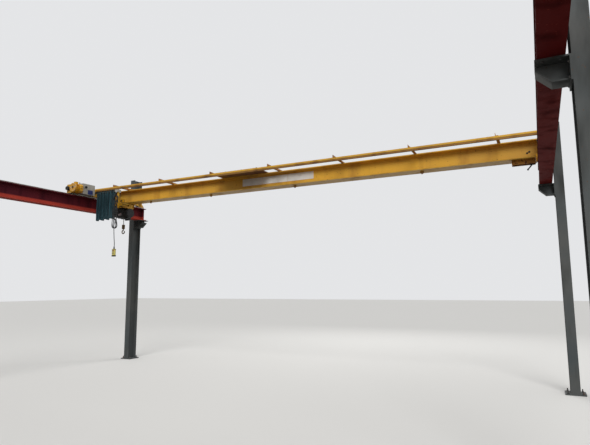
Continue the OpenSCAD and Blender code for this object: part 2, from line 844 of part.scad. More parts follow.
// Cable from the lead carriage down to the tied hank, and from the hank to the pendant
cord_upper = [[0, 0, 0], [0, -3, -25], [0, -10, -70]];
cord_lower = [[0, -10, 0], [-4, -12, -60], [-8, -10, -130], [-6, -6, -200], [0, 0, -260]];

function ring_points(p, r) = [for (k = [0 : 7]) p + [r * cos(k * 45), r * sin(k * 45), 0]];

module cord(points, top, bottom) {
    fall = (top - bottom) / -points[len(points) - 1][2];
    rings = [for (p = points) ring_points([lead_box_x + p[0], cord_y + p[1], top + p[2] * fall], cord_d / 2)];
    polyhedron([for (r = rings, p = r) p], swept_faces(len(points), 8));
}

module pendant_cable() {
    color(rubber) {
        cord(cord_upper, lead_box_z, hank_top);
        cord(cord_lower, hank_bottom, pendant_top);
    }
}

module cable_hank() {
    color(rubber) translate([lead_box_x, cord_y - 10, (hank_top + hank_bottom) / 2]) rotate([90, 0, 0])
        translate([0, 0, -hank_d / 2]) linear_extrude(hank_d)
            round_box(hank_w, hank_top - hank_bottom, hank_w / 2 - 1);
}

module pendant() {
    color([0.85, 0.78, 0.30]) translate([lead_box_x, cord_y, pendant_top - pendant_h])
        linear_extrude(pendant_h) round_box(pendant_w, pendant_w * 0.7, 12);
}

left_columns();
right_columns();
base_plates();
brackets();
left_runway_beam();
right_runway_beam();
runway_rails();
end_stops();
main_girder();
end_plates();
left_end_truck();
right_end_truck();
truck_wheels();
buffers();
side_beam();
cable_track();
side_beam_arms();
girder_lugs();
trolley_stops();
drive_gearboxes();
drive_motors();
motor_cowls();
control_box();
control_box_door();
festoon_clamp();
festoon_cable();
festoon_carrier_1();
festoon_carrier_2();
festoon_carrier_3();
festoon_carrier_4();
festoon_carrier_5();
festoon_carrier_6();
trolley_side_plates();
trolley_end_plates();
trolley_wheels();
trolley_tie_bars();
hoist_body();
hoist_motor();
hoist_gear_cover();
chain_bucket();
load_chain();
hook();
tow_arm();
lead_carriage();
pendant_cable();
cable_hank();
pendant();
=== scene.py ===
import math
import random

import bmesh
import bpy
from mathutils import Matrix, Vector


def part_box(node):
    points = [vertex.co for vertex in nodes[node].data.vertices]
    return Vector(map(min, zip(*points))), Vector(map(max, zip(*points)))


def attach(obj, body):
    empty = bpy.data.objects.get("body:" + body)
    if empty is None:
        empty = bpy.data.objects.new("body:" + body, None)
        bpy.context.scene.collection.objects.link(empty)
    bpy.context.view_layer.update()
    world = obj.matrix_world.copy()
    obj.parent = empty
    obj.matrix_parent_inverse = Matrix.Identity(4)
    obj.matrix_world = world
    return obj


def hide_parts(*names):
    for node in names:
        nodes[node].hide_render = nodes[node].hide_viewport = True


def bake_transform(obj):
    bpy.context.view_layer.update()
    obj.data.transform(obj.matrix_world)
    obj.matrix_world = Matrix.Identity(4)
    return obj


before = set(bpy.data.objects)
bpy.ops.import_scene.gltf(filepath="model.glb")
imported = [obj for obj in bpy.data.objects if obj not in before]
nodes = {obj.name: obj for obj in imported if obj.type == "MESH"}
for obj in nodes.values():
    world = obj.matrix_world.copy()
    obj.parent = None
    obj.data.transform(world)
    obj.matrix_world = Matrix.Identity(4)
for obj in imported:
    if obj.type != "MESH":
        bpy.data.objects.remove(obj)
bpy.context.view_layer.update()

carriers = [f"festoon_carrier_{i}" for i in range(1, 7)]
random.seed(7)


def addObject(name, data):
    made = bpy.data.objects.new(name, data)
    bpy.context.scene.collection.objects.link(made)
    return made


def centreOf(name):
    low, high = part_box(name)
    return (low + high) / 2


# The camera stands almost under the right runway and looks along it and to the left
view = {"place": (4.155, -3.86, 1.6), "yaw": 26.65, "pitch": 7.68, "roll": -0.29, "focal": 486, "width": 590,
        "sensor": 36, "reach": 200}


def makeCamera():
    camera = bpy.data.cameras.new("camera")
    camera.sensor_width = view["sensor"]
    camera.lens = view["sensor"] * view["focal"] / view["width"]
    camera.clip_end = view["reach"]
    seen = addObject("camera", camera)
    turn = Matrix.Rotation(math.radians(view["yaw"]), 4, "Z")
    tilt = Matrix.Rotation(math.radians(90 + view["pitch"]), 4, "X")
    roll = Matrix.Rotation(math.radians(view["roll"]), 4, "Z")
    seen.matrix_world = Matrix.Translation(view["place"]) @ turn @ tilt @ roll
    bpy.context.scene.camera = seen


makeCamera()
print("camera placed")


festoon = {"width": 0.029, "thick": 0.008, "spread": 0.0155, "bend": 0.023, "saddle": 0.022, "lift": 0.005,
           "drops": (0.605, 0.587, 0.605, 0.581, 0.599, 0.575, 0.593), "sway": 0.004,
           "waves": ((5, 90), (4, 60)), "flat": 0.0015, "merge": 0.00005}


# A flat ribbon with thinned edges, swept along a centre line
def sweepFlat(name, points, width, thick):
    outline = bpy.data.curves.new(name + "Outline", "CURVE")
    outline.dimensions = "2D"
    ring = outline.splines.new("BEZIER")
    half, inner, rise = width / 2, (width - thick) / 2, thick / 2
    edges = ((-half, 0), (-inner, rise), (inner, rise), (half, 0), (inner, -rise), (-inner, -rise))
    ring.bezier_points.add(len(edges) - 1)
    for spot, edge in zip(ring.bezier_points, edges):
        spot.co = (*edge, 0)
        spot.handle_left_type = spot.handle_right_type = "VECTOR"
    ring.use_cyclic_u = True
    line = bpy.data.curves.new(name, "CURVE")
    line.dimensions = "3D"
    line.use_fill_caps = True
    line.twist_mode = "MINIMUM"
    route = line.splines.new("POLY")
    route.points.add(len(points) - 1)
    for spot, point in zip(route.points, points):
        spot.co = (*point, 1)
    lineHolder, outlineHolder = addObject(name + "Line", line), addObject(name + "Outline", outline)
    line.bevel_mode = "OBJECT"
    line.bevel_object = outlineHolder
    bpy.context.view_layer.update()
    graph = bpy.context.evaluated_depsgraph_get()
    mesh = bpy.data.meshes.new_from_object(lineHolder.evaluated_get(graph))
    for spare in (lineHolder, outlineHolder):
        bpy.data.objects.remove(spare)
    shape = bmesh.new()
    shape.from_mesh(mesh)
    bmesh.ops.remove_doubles(shape, verts=shape.verts, dist=festoon["merge"])
    bmesh.ops.recalc_face_normals(shape, faces=shape.faces)
    shape.to_mesh(mesh)
    shape.free()
    for face in mesh.polygons:
        face.use_smooth = True
    mesh.name = name
    return addObject(name, mesh)


# A point of a loop's straight side, with a slight wave
def sidePoint(x, top, bottom, t, sway, wave):
    return x + sway * math.sin(math.pi * t) * math.sin(wave[0] * t + wave[1]), top + (bottom - top) * t


# One hanging loop from the top of a saddle over its side, down, round and up to the next
def loopPoints(x, nextX, saddleTop, drop, sway):
    bend = festoon["bend"]
    gap = (nextX - x) / 2 - bend
    middle = (x + nextX) / 2
    top, bottom = saddleTop + festoon["lift"] - bend, saddleTop - drop + gap
    turns = [math.radians(15 * k) for k in range(12)]
    down, up = [(wave, drop * shift) for wave, shift in festoon["waves"]]
    points = [(x + bend * math.sin(a), top + bend * math.cos(a)) for a in turns[:6]]
    points += [sidePoint(x + bend, top, bottom, k / 12, sway, down) for k in range(13)]
    points += [(middle - gap * math.cos(a), bottom - gap * math.sin(a)) for a in turns[1:]]
    points += [sidePoint(nextX - bend, top, bottom, 1 - k / 12, sway, up) for k in range(13)]
    points += [(nextX - bend * math.sin(a), top + bend * math.cos(a)) for a in reversed(turns[1:6])]
    return points


# Each half loop bends from its saddle to the loop's lowest point
def makeFestoon():
    xs = [centreOf(name).x for name in ["festoon_clamp"] + carriers]
    xs.append(2 * xs[-1] - xs[-2])
    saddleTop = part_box("festoon_clamp")[0].z + festoon["saddle"]
    sideY = centreOf("festoon_clamp").y
    count, flat, top = len(festoon["drops"]), festoon["flat"], saddleTop + festoon["lift"]
    made = []
    for i, drop in enumerate(festoon["drops"]):
        bottom, centre = saddleTop - drop, (xs[i] + xs[i + 1]) / 2
        for half, place in (("near", i / count), ("far", (i + 1) / count)):
            shape = bmesh.new()
            for side in (-1, 1):
                route = loopPoints(xs[i], xs[i + 1], saddleTop, drop, side * festoon["sway"])
                lowest = route.index(min(route, key=lambda point: point[1]))
                if half == "near":
                    route = [route[0], (xs[i] + flat, top)] + route[1:lowest + 1]
                    route.insert(-1, (centre - flat, bottom))
                else:
                    route = [route[lowest], (centre + flat, bottom)] + route[lowest + 1:]
                    route += [(xs[i + 1] - flat, top), (xs[i + 1], top)]
                y = sideY + side * festoon["spread"]
                strand = sweepFlat("strand", [(x, y, z) for x, z in route], festoon["width"], festoon["thick"])
                shape.from_mesh(strand.data)
                bpy.data.objects.remove(strand)
            mesh = bpy.data.meshes.new(f"festoon_loop_{i + 1}_{half}")
            shape.to_mesh(mesh)
            shape.free()
            piece = addObject(mesh.name, mesh)
            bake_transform(piece)
            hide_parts("festoon_cable")
            made.append(piece.name)
    return made


# The radius is set on the points, because a curve's box grows by it
def makeCord(name, points, diameter, body):
    line = bpy.data.curves.new(name, "CURVE")
    line.dimensions = "3D"
    line.bevel_depth = 1
    line.bevel_resolution = 4
    line.resolution_u = 6
    line.use_fill_caps = True
    route = line.splines.new("BEZIER")
    route.bezier_points.add(len(points) - 1)
    for spot, point in zip(route.bezier_points, points):
        spot.co = point
        spot.radius = diameter / 2
        spot.handle_left_type = spot.handle_right_type = "AUTO"
    piece = addObject(name, line)
    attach(piece, body)
    return piece, route.calc_length()


def placed(x, y, z, offsets):
    return [(x + i, y + j, z + k) for i, j, k in offsets]


hank = {"diameter": 0.014, "bends": (0.056, 0.046, 0.056, 0.046), "rows": (-0.0235, -0.0078, 0.0078, 0.0235),
        "legs": ((-0.042, -0.014), (0.014, 0.042), (-0.028, 0.0), (0.028, 0.0)),
        "legPlaces": (0.22, 0.4, 0.6, 0.78), "steps": 8, "entry": 0.010, "exit": (-0.002, 0.004, -0.03),
        "head": ((-0.0336, -0.0175, -0.045), (-0.056, -0.0235, -0.12)),
        "tail": ((-0.04462, 0.0235, 0.07), (-0.04, 0.0215, -0.03), (-0.018, 0.008, -0.12),
                 (-0.004, 0.004, -0.22), (0.004, 0.008, -0.32))}


# Sideways place of a leg, drawn in by the ties at its middle
def pinched(leg, bend, t):
    return leg if 0.3 < t < 0.7 else (leg + bend) / 2


# The pendant's cable: out of the box, folded to and fro in a tied hank, then down to the pendant
def makePendantCable():
    low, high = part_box("cable_hank")
    x, y = (low.x + high.x) / 2, (low.y + high.y) / 2
    top, bottom = high.z - hank["diameter"] / 2, low.z + hank["diameter"] / 2
    exitPoint = (x, y + hank["entry"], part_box("pendant_cable")[1].z)
    end = (x, y + hank["entry"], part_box("pendant")[1].z)
    points = [exitPoint] + placed(x, y, exitPoint[2], [hank["exit"]]) + placed(x, y, top, hank["head"])
    steps = hank["steps"]
    for turn, (bend, across) in enumerate(zip(hank["bends"], hank["rows"])):
        row, height = y + across, top - bottom - 2 * bend
        downLeg, upLeg = hank["legs"][turn]
        if turn:
            before, lastRow = hank["bends"][turn - 1], y + hank["rows"][turn - 1]
            reach = (bend + before) / 2
            for k in range(steps + 1):
                angle, share = math.pi * k / steps, k / steps
                side = before + (bend - before) * share
                points.append((x + side * math.cos(angle), lastRow + (row - lastRow) * share,
                               top - reach + reach * math.sin(angle)))
        for t in hank["legPlaces"]:
            points.append((x + pinched(downLeg, -bend, t), row, top - bend - height * t))
        if turn < len(hank["bends"]) - 1:
            for k in range(steps + 1):
                angle = math.pi * (1 + k / steps)
                points.append((x + bend * math.cos(angle), row, bottom + bend + bend * math.sin(angle)))
            for t in hank["legPlaces"]:
                points.append((x + pinched(upLeg, bend, t), row, bottom + bend + height * t))
    points += placed(x, y, bottom, hank["tail"]) + [end]
    piece, length = makeCord("pendant_lead", points, hank["diameter"], "trolley")
    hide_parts("pendant_cable", "cable_hank")
    print("pendant lead", round(length, 3))
    return end


festoonPieces = makeFestoon()
cordEnd = makePendantCable()

leads = {"diameter": 0.012, "arm": (0.008, 0.036, 0.016), "drop": ((-0.004, 0, 0), (0, 0.001, -0.05)),
         "along": ((0.001, 0.002, 0.07), (0, 0.018, 0.02), (-0.004, 0.065, 0.001), (-0.012, 0.16, 0),
                   (-0.018, 0.24, 0), (-0.045, 0.285, 0), (-0.10, 0.298, 0), (-0.18, 0.30, 0)),
         "inward": ((0.04, 0.30, -0.002), (-0.02, 0.304, -0.03), (-0.06, 0.33, -0.075)),
         "entry": ((-0.078, -0.03, -0.10), (-0.080, 0.0002, -0.105)),
         "boxExit": (0.01, 0.05), "clampEntry": (-0.012, 0.002, 0.045), "straight": 0.012, "steps": 4}


# Supply lead from the lead carriage along the tow arm to the hoist, and the control box's lead to the clamp
def makeLeads():
    armLow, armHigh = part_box("tow_arm")
    x, y, top = armHigh.x + leads["arm"][0], armLow.y + leads["arm"][1], armLow.z + leads["arm"][2]
    points = placed(x, y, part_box("pendant_cable")[1].z, leads["drop"]) + placed(x, y, top, leads["along"])
    points += placed(armLow.x, y, top, leads["inward"])
    points += placed(armLow.x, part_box("hoist_body")[0].y, top, leads["entry"])
    lead, length = makeCord("hoist_lead", points, leads["diameter"], "trolley")
    boxLow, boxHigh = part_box("control_box")
    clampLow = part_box("festoon_clamp")[0]
    start = ((boxLow.x + boxHigh.x) / 2 + leads["boxExit"][0], boxHigh.y, boxLow.z + leads["boxExit"][1])
    end = placed(centreOf("festoon_clamp").x, clampLow.y, clampLow.z, [leads["clampEntry"]])[0]
    side, rise = end[0] - start[0], end[2] - start[2]
    offset, reach = math.hypot(side, rise), end[1] - start[1] - leads["straight"]
    sweep = 2 * math.atan2(offset, reach)
    radius = reach / math.sin(sweep)
    points = [start]
    for k in range(leads["steps"] + 1):
        angle = sweep * k / leads["steps"]
        share = radius * (1 - math.cos(angle)) / offset
        y = start[1] + leads["straight"] + radius * math.sin(angle)
        points.append((start[0] + side * share, y, start[2] + rise * share))
    lead, length = makeCord("control_lead", points, leads["diameter"], "bridge")


makeLeads()
print("cords and festoon made")


# Colours are written in sRGB and turned to linear here
def linear(colour):
    return [(c / 255 / 12.92) if c < 11 else ((c / 255 + 0.055) / 1.055) ** 2.4 for c in colour] + [1]


def addNode(tree, kind, **values):
    made = tree.nodes.new(kind)
    for name, value in values.items():
        made.inputs[name].default_value = value
    return made


def mixColours(tree, factor, first, second):
    mixed = tree.nodes.new("ShaderNodeMix")
    mixed.data_type = "RGBA"
    for socket, value in ((mixed.inputs[0], factor), (mixed.inputs[6], first), (mixed.inputs[7], second)):
        if hasattr(value, "links"):
            tree.links.new(value, socket)
        else:
            socket.default_value = value
    return mixed.outputs[2]


# Turns a value between the first two ends into one between the other two
def ranged(tree, value, fromEnds=(0, 1), toEnds=(0, 1)):
    ramp = tree.nodes.new("ShaderNodeMapRange")
    for name, end in zip(("From Min", "From Max", "To Min", "To Max"), (*fromEnds, *toEnds)):
        ramp.inputs[name].default_value = end
    tree.links.new(value, ramp.inputs["Value"])
    return ramp.outputs["Result"]


def noiseMask(tree, coords, scale, low, high, detail=4, stretch=(1, 1, 1)):
    mapping = addNode(tree, "ShaderNodeMapping", Scale=stretch)
    tree.links.new(coords, mapping.inputs["Vector"])
    noise = addNode(tree, "ShaderNodeTexNoise", Scale=scale, Detail=detail)
    tree.links.new(mapping.outputs[0], noise.inputs["Vector"])
    return ranged(tree, noise.outputs["Fac"], (low, high))


def startMaterial(name):
    material = bpy.data.materials.new(name)
    material.use_nodes = True
    tree = material.node_tree
    coords = addNode(tree, "ShaderNodeTexCoord").outputs["Object"]
    return material, tree, tree.nodes["Principled BSDF"], coords


def addBump(tree, shader, height, strength, distance):
    bump = addNode(tree, "ShaderNodeBump", Strength=strength, Distance=distance)
    tree.links.new(height, bump.inputs["Height"])
    tree.links.new(bump.outputs[0], shader.inputs["Normal"])


# Brushed or sprayed paint: broad fading, dust, runs of dirt and small chips
def paint(name, base, faded, dirt, chip, rough=0.45, dirtHigh=0.75, chipLow=0.70, shine=0.16):
    material, tree, shader, coords = startMaterial(name)
    broad = noiseMask(tree, coords, scale=1.1, low=0.38, high=0.66)
    runs = noiseMask(tree, coords, scale=5, low=0.5, high=dirtHigh, detail=5, stretch=(1, 1, 0.25))
    specks = noiseMask(tree, coords, scale=38, low=chipLow, high=chipLow + 0.03, detail=2)
    grain = noiseMask(tree, coords, scale=160, low=0.3, high=0.7, detail=2)
    colour = mixColours(tree, broad, linear(base), linear(faded))
    colour = mixColours(tree, runs, colour, linear(dirt))
    colour = mixColours(tree, specks, colour, linear(chip))
    tree.links.new(colour, shader.inputs["Base Color"])
    dull = ranged(tree, runs, toEnds=(rough - 0.08, rough + 0.22))
    tree.links.new(dull, shader.inputs["Roughness"])
    shader.inputs["Specular IOR Level"].default_value = shine
    addBump(tree, shader, grain, strength=0.12, distance=0.0006)
    return material


# Turns the lower part of a paint, under the given height, towards a lighter colour: a painted lit band, standing in
# for light on the lower web below the top flange's shade; noise makes its strength patchy
def paintLitBandBelow(material, height, colour, soft=0.012):
    tree = material.node_tree
    base = tree.nodes["Principled BSDF"].inputs["Base Color"]
    coords = addNode(tree, "ShaderNodeTexCoord").outputs["Object"]
    split = addNode(tree, "ShaderNodeSeparateXYZ")
    tree.links.new(coords, split.inputs[0])
    # Patchy strength of the painted lit band
    litBandPatches = noiseMask(tree, coords, scale=9, low=0.3, high=0.7, detail=5, stretch=(1, 0.3, 1))
    edge = ranged(tree, split.outputs["Z"], (height + soft, height - soft))
    share = ranged(tree, litBandPatches, toEnds=(0.7, 1.0))
    amount = tree.nodes.new("ShaderNodeMath")
    amount.operation = "MULTIPLY"
    tree.links.new(edge, amount.inputs[0])
    tree.links.new(share, amount.inputs[1])
    tinted = mixColours(tree, amount.outputs[0], base.links[0].from_socket, linear(colour))
    tree.links.new(tinted, base)
    return material


# Bare or worn steel with rust in patches
def steel(name, base, rust, rustLow=0.52, rough=0.35):
    material, tree, shader, coords = startMaterial(name)
    patches = noiseMask(tree, coords, scale=7, low=rustLow, high=rustLow + 0.14, detail=8)
    streaks = noiseMask(tree, coords, scale=60, low=0.35, high=0.65, detail=3, stretch=(1, 0.08, 1))
    tint = mixColours(tree, streaks, linear(base), linear([c * 0.8 for c in base]))
    colour = mixColours(tree, patches, tint, linear(rust))
    tree.links.new(colour, shader.inputs["Base Color"])
    for socket, ends in (("Metallic", (0.9, 0.1)), ("Roughness", (rough, 0.8))):
        tree.links.new(ranged(tree, patches, toEnds=ends), shader.inputs[socket])
    addBump(tree, shader, patches, strength=0.25, distance=0.0008)
    return material


# Rubber and moulded plastic: a fine grain and a little dust; where the pattern is stretched into streaks, as on the
# festoon cable, the lighter streaks are partly painted highlights
def moulded(name, base, dustAndSheen, rough=0.55, dustAndSheenScale=9, dustAndSheenHigh=0.8, stretch=(1, 1, 1)):
    material, tree, shader, coords = startMaterial(name)
    dustyAndSheen = noiseMask(tree, coords, dustAndSheenScale, low=0.45, high=dustAndSheenHigh, stretch=stretch)
    grain = noiseMask(tree, coords, scale=300, low=0.3, high=0.7, detail=2)
    colour = mixColours(tree, dustyAndSheen, linear(base), linear(dustAndSheen))
    tree.links.new(colour, shader.inputs["Base Color"])
    shader.inputs["Roughness"].default_value = rough
    shader.inputs["Specular IOR Level"].default_value = 0.3
    addBump(tree, shader, grain, strength=0.15, distance=0.0004)
    return material


finishes = {
    "craneYellow": paint("craneYellow", (218, 170, 62), (202, 156, 66), (150, 100, 42), (96, 54, 26), 0.45, 0.9),
    "rustYellow": paint("rustYellow", (184, 128, 46), (162, 108, 44), (112, 70, 36), (84, 44, 26), 0.55, 0.75, 0.62),
    "panelYellow": paint("panelYellow", (222, 168, 40), (206, 150, 36), (150, 100, 40), (96, 54, 26), 0.4),
    "trackBrown": paint("trackBrown", (150, 108, 52), (132, 94, 48), (96, 66, 38), (70, 50, 36), 0.5),
    "maroonPaint": paint("maroonPaint", (108, 24, 20), (90, 22, 22), (62, 18, 18), (132, 56, 44), 0.7, shine=0.04),
    # Left runway beam: maroon paint with a painted lit band on its lower web, below z 3.302
    "redFlange": paintLitBandBelow(paint("redFlange", (100, 32, 38), (84, 30, 40), (56, 20, 28), (132, 56, 48), 0.7,
                                 shine=0.04), 3.302, (184, 72, 58)),
    "columnPaint": paint("columnPaint", (76, 81, 82), (90, 91, 89), (62, 64, 63), (84, 72, 64), 0.6, shine=0.1),
    "darkPaint": paint("darkPaint", (26, 27, 29), (34, 35, 37), (56, 52, 48), (90, 86, 80), 0.5),
    "carrierPaint": paint("carrierPaint", (52, 56, 56), (62, 66, 64), (84, 80, 72), (120, 116, 108), 0.5),
    "boxGrey": paint("boxGrey", (178, 176, 168), (168, 166, 158), (128, 120, 106), (90, 84, 76), 0.42, 0.85),
    "hookYellow": paint("hookYellow", (122, 92, 42), (104, 80, 42), (62, 50, 38), (48, 42, 38), 0.5, 0.7),
    "railSteel": steel("railSteel", (150, 146, 140), (112, 72, 50), 0.5),
    "brightSteel": steel("brightSteel", (176, 176, 174), (120, 86, 62), 0.62),
    "boltSteel": steel("boltSteel", (96, 94, 92), (84, 58, 44), 0.5, 0.45),
    "cowlPaint": paint("cowlPaint", (206, 152, 44), (190, 138, 48), (126, 92, 52), (168, 164, 156), 0.45, 0.7, 0.6),
    "cowlMetal": steel("cowlMetal", (190, 192, 192), (150, 144, 136), 0.66, 0.3),
    "trayBrown": paint("trayBrown", (134, 92, 54), (116, 78, 50), (84, 58, 42), (70, 50, 36), 0.6),
    "blackRubber": moulded("blackRubber", (34, 34, 34), (66, 64, 60), 0.7),
    # Festoon cable: lighter vertical streaks, partly strands of differing tone and partly painted highlights
    "cableGreen": moulded("cableGreen", (14, 46, 54), (54, 92, 102), 0.5, 55, 0.62, (1, 1, 0.02)),
    "cableBlack": moulded("cableBlack", (26, 28, 29), (52, 53, 52), 0.55),
    "pendantYellow": moulded("pendantYellow", (214, 200, 110), (188, 174, 104), 0.45),
    "signWhite": moulded("signWhite", (214, 214, 210), (196, 194, 188), 0.4),
    "plateBlue": moulded("plateBlue", (38, 52, 104), (54, 66, 110), 0.35),
    "buttonRed": moulded("buttonRed", (170, 40, 34), (150, 52, 44), 0.35), }

nodeFinishes = {
    "craneYellow": ["end_stops", "main_girder", "end_plates", "left_end_truck", "right_end_truck", "side_beam",
                    "tow_arm"], "rustYellow": ["trolley_stops", "girder_lugs", "side_beam_arms"],
    "panelYellow": ["drive_gearboxes", "drive_motors", "trolley_side_plates", "trolley_end_plates"],
    "trackBrown": ["cable_track"], "maroonPaint": ["right_runway_beam"], "redFlange": ["left_runway_beam"],
    "columnPaint": ["left_columns", "right_columns", "base_plates", "brackets"],
    "darkPaint": ["hoist_body", "hoist_motor", "hoist_gear_cover"],
    "carrierPaint": ["festoon_clamp", "lead_carriage"] + [f"festoon_carrier_{i}" for i in range(1, 7)],
    "boxGrey": ["control_box", "control_box_door"], "hookYellow": ["hook"], "railSteel": ["runway_rails"],
    "brightSteel": ["truck_wheels", "trolley_wheels", "trolley_tie_bars", "load_chain"],
    "cowlPaint": ["motor_cowls"], "blackRubber": ["buffers", "chain_bucket"], "cableGreen": ["festoon_cable"],
    "cableBlack": ["pendant_cable", "cable_hank"], "pendantYellow": ["pendant"], }


def dressNodes():
    for finish, names in nodeFinishes.items():
        for name in names:
            piece = nodes[name]
            for place in piece.material_slots:
                place.link = "OBJECT"
                place.material = finishes[finish]
            if not piece.material_slots:
                piece.data.materials.append(finishes[finish])
    for name in festoonPieces:
        bpy.data.objects[name].data.materials.append(finishes["cableGreen"])
    for name in ("pendant_lead", "hoist_lead", "control_lead"):
        bpy.data.objects[name].data.materials.append(finishes["cableBlack"])


dressNodes()
print("CAD pieces dressed")


# Ends a piece: its mesh, its finish and the body that it rides on
def finishPiece(shape, name, finish, body, smooth=False):
    bmesh.ops.recalc_face_normals(shape, faces=shape.faces)
    mesh = bpy.data.meshes.new(name)
    shape.to_mesh(mesh)
    shape.free()
    for face in mesh.polygons:
        face.use_smooth = smooth
    mesh.materials.append(finishes[finish])
    piece = addObject(name, mesh)
    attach(piece, body)


def turnTo(axis):
    return Vector((0, 0, 1)).rotation_difference(Vector(axis)).to_matrix().to_4x4()


# The edges at the vertices, each once and always in the same order
def edgesOf(verts):
    return list(dict.fromkeys(e for v in verts for e in v.link_edges))


# A box with softened edges
def addBlock(shape, centre, size, edge=0.002, turn=None):
    place = Matrix.Translation(centre) @ (turn or Matrix.Identity(4)) @ Matrix.Diagonal((*size, 1))
    made = bmesh.ops.create_cube(shape, size=1, matrix=place)
    if edge > 0:
        edges = edgesOf(made["verts"])
        bmesh.ops.bevel(shape, geom=edges, offset=edge, affect="EDGES", segments=2, profile=0.5, material=-1)


def addRod(shape, start, axis, radius, length, sides=16, edge=0.0, endRadius=None):
    axis = Vector(axis).normalized()
    place = Matrix.Translation(Vector(start) + axis * length / 2) @ turnTo(axis)
    tip = radius if endRadius is None else endRadius
    made = bmesh.ops.create_cone(shape, cap_ends=True, segments=sides, radius1=radius, radius2=tip,
                                 depth=length, matrix=place)
    if edge > 0:
        rims = [e for e in edgesOf(made["verts"]) if len(e.link_faces) == 2
                and any(len(f.verts) == sides for f in e.link_faces)]
        bmesh.ops.bevel(shape, geom=rims, offset=edge, affect="EDGES", segments=2, profile=0.5, material=-1)


# Width and height of a bolt's parts, as shares of its size
boltForm = {"washer": (1.15, 0.18), "head": (0.92, 0.62), "stud": (0.5, 0.25), "edge": 0.08}


# Hexagon head on a washer, standing on the given point
def addBolt(shape, point, axis, size):
    axis = Vector(axis).normalized()
    washer, head, stud = [[size * share for share in boltForm[part]] for part in ("washer", "head", "stud")]
    addRod(shape, point, axis, *washer, 14)
    addRod(shape, Vector(point) + axis * washer[1], axis, *head, 6, size * boltForm["edge"])
    addRod(shape, Vector(point) + axis * (washer[1] + head[1]), axis, *stud, 8)


# Evenly spaced points round a circle across the X or Y axis, the first at a given angle
def ringPoints(centre, radius, count, first, axis="X"):
    points = []
    for k in range(count):
        angle = math.radians(first + 360 * k / count)
        a, b = radius * math.cos(angle), radius * math.sin(angle)
        points.append(Vector(centre) + Vector((0, a, b) if axis == "X" else (a, 0, b)))
    return points


ways = (-1, 1)
corners = [(i, j) for i in ways for j in ways]
up, down = (0, 0, 1), (0, 0, -1)
column = {"half": 0.12, "flangeHalf": 0.065}
columnLow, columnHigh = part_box("right_columns")
columnX = (columnLow.x + columnHigh.x) / 2
columnYs = (-(columnHigh.y - column["half"]), 0.0, columnHigh.y - column["half"])
anchor = {"spread": 0.1, "size": 0.018, "stud": 0.045}
bracketBolt = {"size": 0.012, "spread": 0.092, "rows": (0.045, 0.16), "plate": 0.012, "beam": 0.058, "flange": 0.014}
railClip = {"pitch": 0.6, "size": 0.008, "ends": 0.2, "railHalf": 0.025, "offset": 0.045,
            "block": (0.038, 0.05, 0.012)}


def makeAnchors():
    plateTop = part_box("base_plates")[1].z
    shape = bmesh.new()
    for x in (-columnX, columnX):
        for y in columnYs:
            for i, j in corners:
                point = (x + i * anchor["spread"], y + j * anchor["spread"], plateTop)
                addBolt(shape, point, up, anchor["size"])
                addRod(shape, point, up, anchor["size"] * 0.5, anchor["stud"], 10)
    finishPiece(shape, "anchor_nuts", "boltSteel", "runway")


# Two rows of bolts beside each bracket's web, and those that hold the beam down
def makeBracketBolts():
    top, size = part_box("brackets")[1].z, bracketBolt["size"]
    beamX = centreOf("right_runway_beam").x
    shape = bmesh.new()
    for side in ways:
        for y in columnYs:
            for i in ways:
                boltY = y + i * bracketBolt["spread"]
                for drop in bracketBolt["rows"]:
                    face = side * (columnLow.x - bracketBolt["plate"])
                    addBolt(shape, (face, boltY, top - drop), (-side, 0, 0), size)
                for j in ways:
                    x = side * (beamX + j * bracketBolt["beam"])
                    addBolt(shape, (x, boltY, top + bracketBolt["flange"]), up, size)
                    addBolt(shape, (x, boltY, top - bracketBolt["plate"]), down, size)
    finishPiece(shape, "bracket_bolts", "boltSteel", "runway")


# Small clamps that hold the rail to the top flange, in pairs
def makeRailClips():
    low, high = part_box("runway_rails")
    length, block = high.y - low.y - 2 * railClip["ends"], railClip["block"]
    count = int(length / railClip["pitch"])
    shape = bmesh.new()
    for side in ways:
        for i in range(count + 1):
            y = low.y + railClip["ends"] + i * length / count
            for s in ways:
                x = side * (high.x - railClip["railHalf"]) + s * railClip["offset"]
                addBlock(shape, (x, y, low.z + block[2] / 2), block)
                addBolt(shape, (x, y, low.z + block[2]), up, railClip["size"])
    finishPiece(shape, "rail_clips", "railSteel", "runway")


makeAnchors()
makeBracketBolts()
makeRailClips()
print("runway fastenings made")


bridgeBolt = {"plate": 0.015, "edge": 0.03, "size": 0.014, "arms": 7, "armHalf": 0.0225, "armShift": 0.006,
              "armSheet": 0.005, "nearRow": 0.025, "farRows": (0.03, 0.08), "armSize": 0.008}


# Bolts of the end plates and of the side beam's arms
def makeBridgeBolts():
    shape = bmesh.new()
    low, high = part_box("end_plates")
    edge = bridgeBolt["edge"]
    for side in ways:
        for y in (low.y + edge, high.y - edge):
            for z in (low.z + edge, high.z - edge):
                addBolt(shape, (side * (high.x - bridgeBolt["plate"]), y, z), (-side, 0, 0), bridgeBolt["size"])
    low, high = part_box("side_beam_arms")
    half = bridgeBolt["armHalf"]
    for i in range(bridgeBolt["arms"]):
        x = low.x + half + i * (high.x - low.x - 2 * half) / (bridgeBolt["arms"] - 1)
        for y in (low.y + bridgeBolt["nearRow"], *(high.y - row for row in bridgeBolt["farRows"])):
            place = (x + bridgeBolt["armShift"], y, low.z + bridgeBolt["armSheet"])
            addBolt(shape, place, up, bridgeBolt["armSize"])
    finishPiece(shape, "bridge_bolts", "boltSteel", "bridge")


truckTrim = {"capRadius": 0.042, "capThick": 0.012, "inset": 0.115, "ring": 0.03, "ringBolt": 0.005,
             "endX": 0.045, "endZ": (0.03, 0.145), "endBolt": 0.007}


